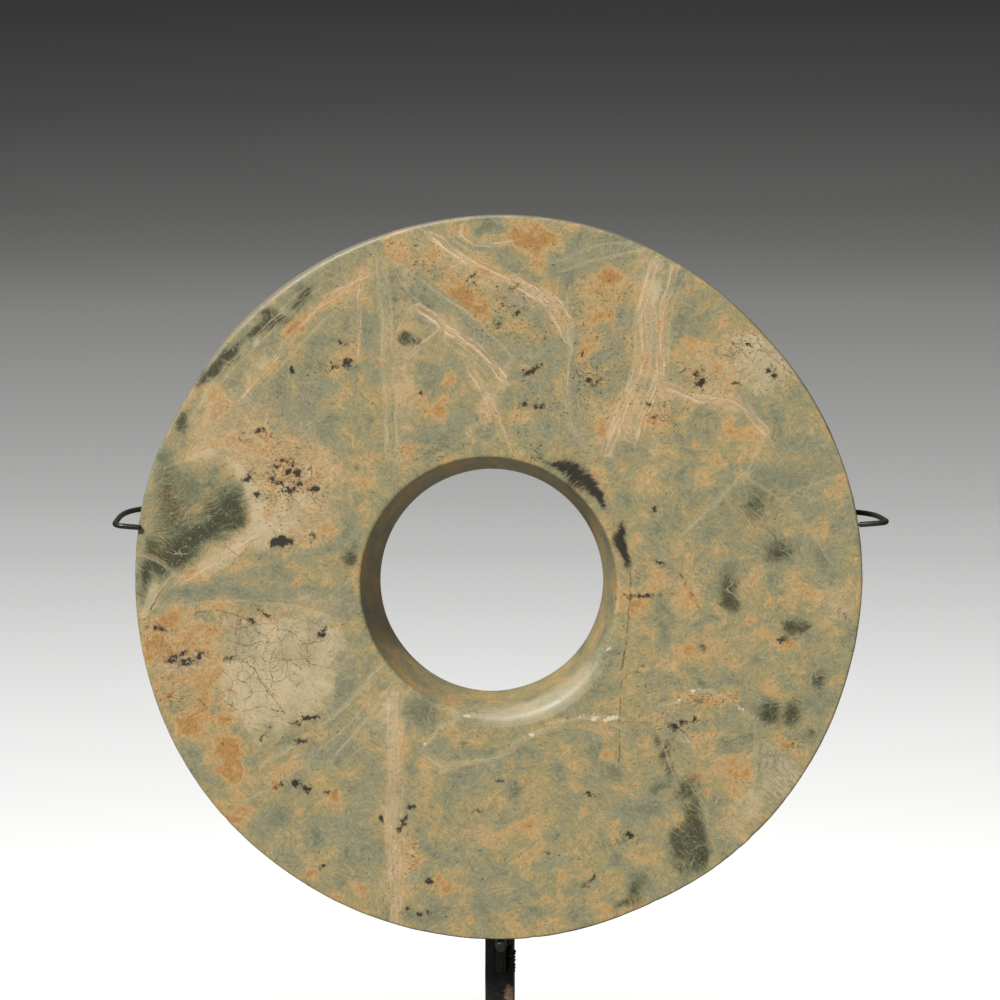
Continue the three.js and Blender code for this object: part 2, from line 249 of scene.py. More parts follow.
            (256, 512, 6, 28, 0.95, 8), (244, 478, 6, 22, 0.7, 25), (262, 535, 12, 7, 0.8, 30),
            (232, 549, 22, 7, 0.8, 42), (205, 565, 18, 6, 0.75, 35), (205, 452, 22, 6, 0.6, 5),
            (176, 575, 12, 4, 0.5, -25), (151, 594, 5, 22, 0.9, -18), (146, 606, 4, 12, 0.6, -10),
        ),
        "upper left band": (
            (262, 362, 22, 7, 0.5, 38), (240, 390, 24, 7, 0.4, 38), (274, 330, 7, 3, 0.5, 40),
            (258, 345, 7, 2, 0.7, 55), (283, 312, 7, 5, 0.6, 30), (362, 290, 9, 8, 0.45),
        ),
        "upper right": (
            (656, 265, 6, 8, 1), (651, 290, 8, 22, 0.6, 3), (752, 352, 24, 12, 0.65, -12),
            (757, 372, 20, 18, 0.5), (782, 358, 9, 14, 0.55), (770, 385, 14, 12, 0.4),
            (745, 340, 18, 5, 0.5, -10), (610, 455, 7, 12, 0.5, 20), (618, 432, 7, 12, 0.45, 10),
            (790, 370, 7, 7, 0.6),
        ),
        "lower right rim": ((742, 812, 12, 24, 0.45, -25), (760, 798, 8, 16, 0.5, -35)),
        "pale drift below the bore": (
            (540, 697, 34, 8, 0.55, 14), (480, 706, 22, 6, 0.5, -10), (396, 800, 12, 110, 0.25),
            (392, 710, 22, 26, 0.4), (360, 740, 20, 20, 0.35, 45), (420, 790, 26, 22, 0.25, 40),
        ),
        "right": ((835, 600, 18, 22, 0.35), (845, 612, 8, 8, 0.45)),
    },
    Mineral.GREY: {
        "slanting band above the bore": (
            (404, 276, 9, 12, 0.8, 35), (424, 296, 20, 10, 1, -42), (449, 312, 22, 11, 1, -35),
            (469, 329, 20, 10, 1, -42), (484, 346, 16, 9, 0.95, -48), (500, 360, 14, 8, 0.8, -42),
            (519, 372, 16, 7, 0.7, -25), (525, 355, 34, 9, 1, 8), (556, 344, 16, 7, 0.95, 18),
            (575, 345, 5, 14, 0.7), (573, 375, 5, 26, 0.8),
        ),
        "top middle": (
            (590, 256, 38, 12, 1, 18), (575, 268, 18, 14, 0.8), (620, 246, 26, 8, 0.8, 18),
            (640, 240, 12, 4, 0.4, 10), (490, 230, 16, 5, 1), (453, 242, 13, 6, 0.8, -30),
            (502, 261, 9, 6, 0.8, -30), (484, 252, 9, 5, 0.6, -20), (520, 298, 18, 9, 0.7, 10),
            (536, 314, 18, 10, 0.7, 20), (497, 286, 11, 5, 0.5, -20), (470, 270, 9, 4, 0.4, -25),
        ),
        "between the slanting band and the bore": (
            (431, 433, 28, 9, 0.9, 5), (462, 416, 15, 9, 0.95), (484, 433, 9, 4, 0.8),
            (552, 405, 10, 34, 0.6, 8), (536, 432, 32, 9, 0.5), (575, 425, 9, 24, 0.4),
            (430, 370, 20, 22, 0.45), (452, 362, 9, 5, 0.7, -50), (462, 375, 5, 9, 0.5, -10),
            (473, 348, 14, 5, 0.6, -45), (508, 392, 7, 12, 0.5, 30), (484, 390, 6, 10, 0.5, 30),
            (530, 385, 16, 9, 0.4),
        ),
        "upper left": (
            (374, 336, 9, 26, 0.8), (372, 350, 9, 14, 0.7), (325, 340, 13, 7, 0.85, 20),
            (309, 380, 18, 8, 0.8, -25), (330, 386, 15, 7, 0.75, 5), (303, 412, 27, 17, 0.75, -25),
            (248, 399, 12, 7, 0.95, 5), (322, 434, 16, 12, 0.7, -30), (262, 342, 18, 6, 0.5, 30),
            (290, 350, 12, 5, 0.4, 40), (330, 315, 14, 5, 0.6, 40), (353, 400, 9, 16, 0.5),
            (346, 458, 9, 20, 0.5), (358, 520, 8, 34, 0.5), (372, 380, 6, 14, 0.4),
            (195, 405, 12, 4, 0.4, 50), (170, 440, 8, 10, 0.4, -20),
        ),
        "across to the left rim": (
            (178, 596, 20, 8, 0.8, 8), (214, 590, 26, 9, 0.85, 12), (260, 592, 34, 9, 0.95, -2),
            (310, 597, 34, 9, 0.9, -6), (348, 601, 18, 10, 0.8, -6), (280, 562, 34, 6, 0.7, 18),
            (330, 545, 22, 6, 0.7, 22), (246, 572, 20, 5, 0.6, 20), (350, 530, 10, 16, 0.5, 30),
            (300, 575, 28, 4, 0.5, 5), (335, 615, 18, 8, 0.5), (350, 640, 10, 12, 0.4),
        ),
        "lower left": (
            (345, 676, 11, 22, 0.9, 5), (340, 700, 9, 16, 0.7, -20), (312, 758, 14, 7, 1, 5),
            (333, 742, 24, 7, 0.8, 22), (295, 775, 30, 7, 0.5, 15), (272, 816, 15, 9, 0.8, 15),
            (258, 826, 10, 6, 0.6, 20), (329, 832, 34, 13, 0.95, 8), (359, 806, 16, 17, 0.75, 20),
            (371, 776, 12, 15, 0.75, -20), (362, 854, 17, 18, 0.7), (294, 853, 12, 6, 0.7),
            (371, 880, 15, 9, 0.65), (340, 880, 16, 10, 0.4), (197, 756, 4, 15, 0.85, -25),
            (210, 780, 14, 4, 0.5, -20), (366, 720, 12, 14, 0.6, 30), (350, 750, 20, 10, 0.5, 40),
        ),
        "below the bore": (
            (417, 712, 24, 14, 0.8, -10), (436, 748, 24, 9, 0.7, 20), (476, 752, 24, 5, 0.75, -3),
            (470, 774, 22, 9, 0.95, 15), (490, 764, 20, 5, 0.8, 25), (567, 707, 20, 7, 0.9, 12),
            (562, 733, 14, 7, 0.75), (584, 732, 16, 7, 0.75), (557, 765, 11, 6, 0.7, 10),
            (571, 793, 9, 4, 0.7), (588, 783, 10, 6, 0.6), (627, 812, 34, 13, 0.9), (650, 800, 14, 16, 0.5),
            (554, 834, 20, 3, 0.5), (455, 846, 12, 8, 0.6), (444, 862, 12, 8, 0.6), (417, 876, 11, 7, 0.75),
            (423, 850, 5, 6, 0.9), (499, 884, 26, 15, 1), (493, 906, 20, 10, 0.8), (556, 862, 24, 10, 0.6),
            (430, 900, 20, 14, 0.55), (617, 861, 11, 9, 0.75), (536, 886, 20, 8, 0.4),
            (480, 815, 20, 9, 0.4, 30), (474, 838, 12, 14, 0.4, 30), (620, 730, 10, 10, 0.4),
        ),
        "right half": (
            (800, 490, 60, 55, 0.35), (801, 445, 13, 7, 0.8), (822, 463, 13, 20, 0.75),
            (790, 420, 22, 12, 0.5), (758, 484, 40, 26, 0.4), (718, 485, 14, 6, 0.4, 5),
            (710, 536, 9, 5, 0.7, 30), (703, 564, 13, 8, 0.75), (845, 516, 9, 10, 0.8),
            (683, 481, 11, 5, 0.75), (652, 528, 10, 6, 0.75), (638, 454, 10, 10, 0.6),
            (693, 452, 9, 9, 0.5), (660, 440, 12, 6, 0.4), (778, 551, 22, 15, 0.6), (820, 565, 20, 20, 0.6),
            (812, 545, 16, 12, 0.4), (730, 590, 16, 24, 0.5), (806, 636, 20, 6, 0.4), (765, 612, 8, 9, 0.5),
            (822, 680, 20, 30, 0.5), (664, 650, 12, 22, 0.5), (690, 520, 12, 9, 0.4),
            (730, 545, 20, 16, 0.3),
        ),
        "upper right": (
            (618, 328, 12, 26, 0.85, -35), (610, 352, 9, 11, 0.8, -30), (640, 312, 7, 11, 0.6, -10),
            (700, 317, 22, 5, 0.65, 25), (716, 306, 12, 4, 0.6, 40), (676, 327, 9, 9, 0.6),
            (683, 275, 8, 7, 0.5), (697, 335, 20, 5, 0.5, 10), (752, 397, 12, 9, 0.8),
            (777, 391, 6, 8, 0.65), (746, 404, 14, 8, 0.6), (652, 345, 4, 44, 0.9, 3),
            (657, 300, 4, 24, 0.7, -8), (664, 270, 5, 12, 0.5, -10), (640, 400, 3, 18, 0.5, -20),
        ),
        "lower right": (
            (727, 718, 15, 8, 0.9), (780, 764, 22, 15, 0.75), (784, 786, 13, 9, 0.7),
            (722, 752, 24, 4, 0.6), (797, 745, 14, 9, 0.4), (673, 727, 9, 20, 0.6, -20),
            (665, 700, 7, 16, 0.5), (680, 715, 8, 10, 0.5), (812, 700, 12, 26, 0.4), (720, 765, 14, 6, 0.5),
            (757, 745, 4, 30, 0.5),
        ),
    },
    Mineral.CRACKED: {
        "cream field": (
            (262, 666, 42, 34, 1), (300, 636, 46, 26, 0.8), (300, 480, 44, 40, 0.8),
            (170, 660, 34, 50, 0.6), (215, 715, 40, 30, 0.55), (250, 620, 36, 14, 0.7),
        ),
        "upper right": (
            (745, 350, 34, 22, 0.9), (690, 375, 30, 22, 0.5), (600, 300, 40, 34, 0.35),
            (775, 395, 22, 22, 0.5),
        ),
        "orange-brown field at the top": ((430, 265, 40, 26, 0.35, -20), (530, 245, 26, 24, 0.35)),
        "right": ((690, 560, 40, 30, 0.3), (640, 660, 26, 60, 0.3)),
    },
    Mineral.SPECKLED: {
        "speckled field at the left": ((288, 478, 32, 30, 1), (258, 434, 22, 12, 0.8)),
        "dotted zone": ((328, 364, 20, 9, 1), (300, 366, 22, 8, 0.5)),
        "orange-brown field at the top": (
            (425, 262, 34, 22, 0.55, -20), (500, 328, 34, 14, 0.7, -10), (512, 300, 24, 18, 0.6),
            (545, 405, 26, 16, 0.6),
        ),
        "above the bore": ((430, 452, 44, 8, 0.7), (540, 452, 24, 10, 0.8)),
        "top right": ((600, 310, 40, 36, 0.6), (598, 385, 30, 30, 0.6), (588, 376, 16, 14, 0.8)),
        "right": (
            (660, 412, 24, 16, 0.9), (695, 378, 22, 14, 0.8), (742, 344, 22, 12, 0.8),
            (775, 372, 20, 14, 0.6), (640, 650, 12, 70, 0.35), (690, 722, 14, 12, 0.9),
            (665, 726, 9, 14, 0.8), (630, 840, 16, 6, 0.5), (708, 697, 32, 7, 1, -3),
            (792, 741, 22, 6, 0.8, -8),
        ),
        "lower left": (
            (265, 640, 40, 24, 0.5), (170, 690, 34, 40, 0.5), (410, 855, 16, 18, 0.6),
            (300, 720, 40, 20, 0.35),
        ),
    },
    Mineral.SMOKE: {
        "inclusions by the bore": (
            (548, 461, 12, 2.5, 0.6, -8), (564, 464, 12, 5, 0.85, -14), (578, 472, 13, 9, 1, -35),
            (588, 482, 13, 9, 1, -50), (597, 494, 11, 5, 1, -52), (604, 503, 7, 3, 0.9, -52),
            (572, 484, 10, 6, 0.45, -40), (621, 532, 5, 12, 1, 12), (625, 547, 5, 12, 1, 6),
            (627, 561, 3, 7, 0.85), (616, 542, 3, 12, 0.5, 10),
        ),
    },
    Mineral.LILAC: {
        "lens at the left": ((184, 662, 24, 9, 1, 8), (234, 619, 16, 7, 0.7, 10)),
        "by the slanting band": ((248, 401, 14, 9, 0.6), (303, 425, 14, 9, 0.45)),
        "lower right": ((784, 780, 26, 22, 0.8), (686, 735, 9, 5, 1), (770, 745, 20, 12, 0.4)),
        "right": ((845, 500, 10, 30, 0.3), (300, 536, 26, 10, 0.45), (230, 655, 12, 8, 0.5)),
        "by the bore": ((484, 768, 16, 8, 0.45), (566, 708, 22, 8, 0.4, 12)),
    },
    Mineral.PEACH: {
        "left": (
            (224, 424, 40, 26, 1, 20), (262, 452, 44, 22, 0.8), (300, 490, 40, 50, 1),
            (233, 545, 40, 12, 0.8, 36), (256, 505, 9, 34, 0.9, 8), (190, 650, 50, 50, 0.5),
            (345, 290, 36, 12, 0.6, 38), (310, 605, 60, 12, 0.5),
        ),
        "top": (
            (405, 330, 9, 90, 0.6, 2), (404, 385, 8, 34, 0.9), (458, 335, 34, 9, 0.8, -40),
            (500, 285, 60, 9, 0.8, -28), (490, 400, 9, 44, 0.8, -25), (440, 258, 50, 22, 0.4, -20),
            (648, 330, 12, 80, 0.85, 6), (632, 410, 12, 34, 0.8, -24), (700, 397, 44, 9, 0.9, -12),
            (745, 365, 50, 34, 0.55), (690, 360, 30, 30, 0.4), (600, 420, 34, 40, 0.4),
        ),
        "bottom": (
            (394, 840, 11, 90, 0.6), (392, 740, 9, 60, 0.35), (410, 870, 20, 40, 0.5),
            (500, 800, 40, 18, 0.35), (742, 815, 26, 34, 0.5, -25), (700, 735, 34, 14, 0.4),
        ),
        "right": ((835, 605, 24, 26, 0.5), (690, 590, 30, 20, 0.5, -50), (650, 470, 14, 40, 0.4, -20)),
    },
}

BLACK_BLOTS: Rows = {
    "speckled field": (
        (281, 541, 11, 6, 5), (289, 471, 3, 3), (297, 472, 4, 3), (289, 489, 5, 3.5, 10), (272, 477, 3, 3),
        (248, 477, 5, 3, 30), (314, 488, 4.5, 3), (283, 460, 5, 1.5, 10), (257, 493, 2.5, 2),
        (312, 536, 3, 2, 60), (281, 481, 3, 2), (301, 482, 3, 2, 40), (294, 464, 2, 2),
        (276, 466, 2.5, 1.5),
    ),
    "left": (
        (170, 660, 6, 2.5, 10), (184, 662, 8, 3, 20), (198, 657, 6, 2.5, 30), (178, 655, 6, 1.5, 25),
        (309, 718, 7, 2.5, 15), (294, 723, 4, 1.5), (263, 736, 4, 1, 50), (300, 741, 4, 1.5, 10),
        (320, 635, 5, 2.5, 30), (326, 629, 3, 1.5, 50), (262, 611, 5, 1.5, -40), (250, 619, 4, 1.5),
        (229, 658, 3, 1.5), (161, 629, 6, 1.3, -10), (157, 624, 3, 1, -40),
    ),
    "top left": (
        (344, 342, 4.5, 2, -20), (348, 363, 5, 4, 40), (293, 370, 2, 4.5, 10), (322, 364, 2, 1.5),
        (332, 368, 2, 1.5), (258, 430, 4, 1.5, 10), (242, 440, 2.5, 1.5), (336, 366, 2, 1.5),
    ),
    "above the bore": (
        (531, 371, 7, 3, 22), (538, 368, 4, 2.5, 20), (470, 279, 3.5, 1.5, 40), (474, 284, 3, 1, 30),
        (513, 290, 5, 1, 30), (518, 313, 4, 1, 30), (499, 325, 3, 1.2, 60), (538, 341, 3, 1, 10),
        (590, 381, 3, 2, -30), (597, 383, 3, 1.5, 10), (580, 354, 2.5, 1.5), (422, 393, 2, 1.5),
        (526, 404, 3, 2), (540, 406, 4, 2.5), (498, 325, 2, 2),
    ),
    "right": (
        (698, 373, 4, 2, 20), (700, 383, 5, 3.5, 30), (767, 371, 2, 3, -20), (773, 376, 3, 4, -20),
        (657, 417, 2.5, 1.5), (648, 404, 2.5, 1), (655, 508, 2.5, 2.2), (659, 562, 4, 1.5, -40),
        (641, 595, 8, 0.8, 3), (675, 726, 3.5, 3), (683, 722, 2.5, 2), (696, 719, 2, 1.5),
        (782, 640, 3.5, 2), (748, 345, 3, 1), (737, 384, 2, 1), (843, 614, 2, 1, -40),
    ),
    "bottom": (
        (630, 835, 4, 2), (626, 841, 4, 0.8, 20), (593, 879, 3, 1.5, 50), (587, 886, 2, 1.5),
        (592, 794, 3.5, 1.2, -10), (557, 836, 2, 1, 30), (548, 854, 2, 1), (501, 780, 2, 1),
        (478, 812, 2, 1), (295, 784, 4, 3.5), (307, 789, 4.5, 4), (275, 787, 4, 1.5, 20),
        (330, 792, 3, 0.8, 10), (381, 819, 2, 3), (413, 808, 3.5, 1.5), (403, 823, 7, 2.2, 62),
        (323, 866, 3, 1.2, 30), (430, 883, 4, 2, -20), (421, 916, 5, 1, 10), (406, 911, 3, 1.5, 40),
    ),
}

WHITE_CHIPS: Rows = {
    "along the vein below the bore": (
        (611, 718, 6, 2.2, 25), (597, 718, 3, 1.2, 20), (468, 716, 3, 1.4), (523, 738, 3, 1.3, 10),
        (533, 734, 3, 1.3, 20), (527, 702, 3, 1, -15), (426, 743, 3, 1.3), (610, 648, 3, 1.4, 20),
        (585, 715, 3, 0.8, 10), (556, 722, 4, 0.8, 10),
    ),
    "lower right": ((698, 689, 7, 1.2, 15), (678, 700, 3.5, 1.2, 30), (740, 707, 3, 1, -30)),
    "above the rod": ((501.5, 935.5, 1.5, 2),),
}


class Line(NamedTuple):
    """A seam or crack across the front face.

    It has half its width in millimetres, its points and how strongly it shows.
    """

    half_width: float
    points: tuple[tuple[float, float], ...]
    strength: float = 0.6


LINES: dict[Seam, dict[str, Line]] = {
    Seam.PINK: {
        "long vein at the top": Line(
            1.1, ((432, 237), (440, 242), (464, 259), (488, 271), (508, 279), (532, 293), (555, 308)), 0.95
        ),
        "its upper branch": Line(0.7, ((518, 277), (538, 288), (560, 303), (570, 318)), 0.95),
        "its drop to the bore": Line(0.9, ((550, 310), (560, 325), (568, 340))),
        "vein under the slanting band": Line(
            1.2, ((420, 309), (437, 320), (454, 333), (473, 347), (491, 363), (503, 377)), 0.95
        ),
        "its fork": Line(0.7, ((440, 330), (425, 345), (408, 356))),
        "falling vein": Line(0.8, ((469, 367), (484, 390), (498, 415), (507, 436))),
        "left border of the pale band": Line(
            1.3, (
                (652, 268), (646, 290), (641, 314), (642, 352), (636, 376), (626, 398), (614, 432),
                (607, 452),
            ),
        ),
        "right border of the pale band": Line(
            1.1, ((674, 265), (669, 290), (661, 316), (661, 350), (659, 374), (648, 402), (638, 436))
        ),
        "vein to the right": Line(
            1.2, ((664, 387), (680, 392), (696, 398), (727, 401), (744, 409), (756, 421), (764, 432))
        ),
        "lower upright band, left": Line(
            1.0, ((391, 700), (390, 760), (389, 820), (391, 880), (392, 925)), 0.4
        ),
        "lower upright band, right": Line(
            0.9, ((400, 690), (399, 760), (400, 830), (401, 880), (400, 926)), 0.35
        ),
        "upright line at the left": Line(0.7, ((363, 274), (360, 300), (361, 330), (359, 356)), 0.45),
        "slanting band at the upper left": Line(
            0.8, ((372, 276), (340, 293), (321, 306), (299, 328), (262, 376), (240, 402))
        ),
        "line by the left rim": Line(0.8, ((176, 571), (160, 590), (149, 610)), 0.4),
        "pink loop at the top": Line(0.8, ((466, 224), (463, 236), (474, 242), (495, 246), (512, 243))),
        "edge under the hairy patch": Line(
            0.7, ((262, 534), (238, 548), (214, 563), (190, 577), (178, 584))
        ),
    },
    Seam.PALE: {
        "upright vein above the bore": Line(
            0.75, ((570, 296), (571, 338), (569, 380), (569, 417), (574, 432), (584, 444))
        ),
        "first upright line": Line(0.65, ((379, 262), (382, 300), (384, 350), (386, 400), (389, 460))),
        "second upright line": Line(0.55, ((388, 262), (391, 300), (393, 350), (396, 400), (399, 460))),
        "line by the left rim": Line(0.6, ((138, 552), (157, 558), (175, 575))),
        "long vein below the bore": Line(
            0.8, (
                (424, 752), (441, 765), (480, 761), (506, 753), (524, 738), (549, 726), (582, 716),
                (616, 718),
            ),
        ),
        "short vein below the bore": Line(0.6, ((492, 716), (466, 716), (441, 726), (426, 745))),
        "fan at the upper right": Line(0.4, ((735, 361), (752, 346), (768, 331))),
        "second of the fan": Line(0.4, ((744, 368), (760, 354), (776, 343))),
        "slanting fan at the left": Line(0.7, ((384, 664), (360, 690), (334, 716), (300, 742), (262, 764))),
        "second slanting fan": Line(0.6, ((392, 684), (372, 712), (352, 736), (330, 760))),
        "line along the lower band": Line(0.6, ((395, 682), (394, 760), (395, 840), (396, 924)), 0.4),
        "vein round the yellow patch": Line(
            0.6, ((660, 704), (678, 700), (690, 691), (712, 690), (736, 702), (752, 718))
        ),
        "lower vein at the right": Line(0.6, ((757, 720), (757, 760), (752, 800)), 0.4),
        "pale edge of the long streak": Line(
            0.8, ((672, 760), (694, 784), (707, 812), (711, 842), (714, 862)), 0.35
        ),
        "felt line": Line(0.5, ((700, 440), (730, 470), (764, 488), (800, 520), (830, 560)), 0.3),
        "stripe at the top right": Line(0.5, ((560, 272), (585, 264), (612, 259), (643, 250)), 0.5),
        "second stripe at the top right": Line(0.4, ((557, 262), (580, 253), (602, 247), (622, 245)), 0.5),
        "curl by the upright vein": Line(0.45, ((568, 392), (582, 397), (597, 408), (610, 424)), 0.5),
        "short line above the bore": Line(0.4, ((568, 428), (574, 436), (581, 445)), 0.6),
        "bend right of the fan": Line(
            0.45, ((743, 410), (758, 424), (763, 436), (750, 464), (714, 508)), 0.5
        ),
        "line down to the bore's right": Line(0.5, ((747, 474), (722, 494), (702, 514), (686, 531)), 0.5),
        "thread to the right rim": Line(0.4, ((780, 500), (800, 488), (818, 483), (836, 476)), 0.5),
        "edge of the left border": Line(0.4, ((640, 300), (634, 330), (634, 360), (627, 384)), 0.5),
        "edge of the right border": Line(0.4, ((684, 280), (674, 300), (668, 330), (668, 372)), 0.5),
        "left veil, upper": Line(0.4, ((374, 284), (350, 300), (322, 322), (300, 346), (276, 372)), 0.5),
        "veil by the rim": Line(0.4, ((330, 270), (296, 296), (262, 330), (226, 366), (196, 404)), 0.5),
        "second veil by the rim": Line(
            0.4, ((322, 288), (286, 318), (250, 352), (214, 388), (186, 424)), 0.45
        ),
        "veil over the hairy patch": Line(
            0.45, ((176, 462), (200, 452), (226, 456), (244, 478), (256, 506)), 0.6
        ),
        "veil under the level band": Line(
            0.4, ((150, 606), (190, 603), (240, 600), (300, 606), (350, 622)), 0.45
        ),
        "slanting veil right of the lens": Line(
            0.4, ((402, 262), (430, 288), (462, 308), (490, 332), (512, 356)), 0.6
        ),
        "slanting veil left of the lens": Line(
            0.4, ((396, 272), (416, 300), (444, 322), (474, 346), (500, 374)), 0.5
        ),
        "veil down from the fork": Line(
            0.4, ((440, 336), (462, 352), (480, 378), (492, 404), (500, 436)), 0.4
        ),
        "veil in the lower left": Line(
            0.4, ((384, 680), (350, 722), (318, 752), (280, 782), (240, 806)), 0.4
        ),
        "rising veil below the bore": Line(0.4, ((404, 800), (436, 776), (470, 762), (512, 748)), 0.45),
        "veil left of the long streak": Line(0.4, ((650, 690), (656, 724), (668, 756), (680, 788)), 0.45),
    },
    Seam.CRACK: {
        "upright crack by the bore": Line(
            0.28, ((631, 566), (631, 590), (629, 612), (627, 640), (623, 668), (621, 700), (620, 760))
        ),
        "level crack": Line(0.16, ((600, 722), (617, 721), (649, 722))),
        "left crack": Line(0.22, ((148, 622), (154, 627), (168, 630), (186, 628))),
        "left crack, down": Line(0.16, ((163, 633), (160, 645), (158, 656))),
        "across the cream field": Line(
            0.2, ((228, 640), (246, 646), (262, 640), (276, 650), (297, 645), (322, 640))
        ),
        "slanting in the cream field": Line(
            0.2, ((236, 656), (254, 668), (262, 684), (278, 704), (292, 723))
        ),
        "cream field, upper": Line(0.2, ((262, 611), (272, 626), (268, 640), (286, 656), (300, 668))),
        "cream field, right": Line(0.16, ((298, 652), (312, 664), (330, 668), (340, 660))),
        "cream field, lower": Line(0.16, ((222, 700), (240, 712), (262, 706), (282, 712))),
        "orange field": Line(0.16, ((160, 690), (176, 700), (190, 694), (206, 706))),
        "slanting brown line": Line(0.3, ((168, 579), (158, 594), (149, 609))),
        "thin dark line at the left": Line(0.22, ((196, 612), (214, 609), (232, 613), (248, 619))),
        "under the pale peach drift": Line(0.18, ((226, 546), (240, 556), (246, 548))),
        "brown line at the right": Line(0.45, ((681, 574), (690, 590), (699, 606))),
        "upper right": Line(0.18, ((730, 344), (744, 352), (760, 350), (776, 362), (790, 374))),
    },
}


class FacePlan:
    """Turns places read from the photograph into millimetres from the disc's centre."""

    MM_PER_PIXEL = 0.4404
    MM_PER_PIXEL_UP = 0.4416
    LEFT_EDGE_X = -218.8
    TOP_EDGE_Z = 255.0
    LEAN = 0.0017

    @classmethod
    def place(cls, px: float, py: float) -> tuple[float, float]:
        """The point of the front face, in millimetres right and up, seen at a pixel."""
        x = cls.LEFT_EDGE_X + cls.MM_PER_PIXEL * px
        return x, cls.TOP_EDGE_Z - cls.MM_PER_PIXEL_UP * py + cls.LEAN * px


class SmoothNoise:
    """Repeatable smooth noise between -1 and 1 over points in space."""

    PRIMES = (374761393, 668265263, 982451653)

    def __init__(self, seed: int) -> None:
        """Keeps the seed that tells one noise from another."""
        self.seed = seed

    def at_corner(self, corner: np.ndarray) -> np.ndarray:
        """Repeatable value at whole-number lattice corners.

        Args:
            corner: N by 3 whole numbers.

        Returns:
            N values between -1 and 1.
        """
        mixed = (corner * np.array(self.PRIMES, dtype=np.int64)).sum(axis=1) + self.seed * 1274126177
        mixed = (mixed ^ (mixed >> 13)) * 1103515245
        mixed = mixed ^ (mixed >> 16)
        return (mixed & 0xFFFF) / 32767.5 - 1

    def at(self, points: np.ndarray, cell: float) -> np.ndarray:
        """Noise at points, with bumps about a cell wide.

        Args:
            points: N by 3 places.
            cell: width of a bump in the same unit.

        Returns:
            N values between -1 and 1.
        """
        grid = points / cell
        base = np.floor(grid).astype(np.int64)
        part = grid - base
        part = part * part * (3 - 2 * part)
        total = np.zeros(len(points))
        for corner in product((0, 1), repeat=3):
            share = np.prod(np.where(corner, part, 1 - part), axis=1)
            total += share * self.at_corner(base + np.array(corner))
        return total


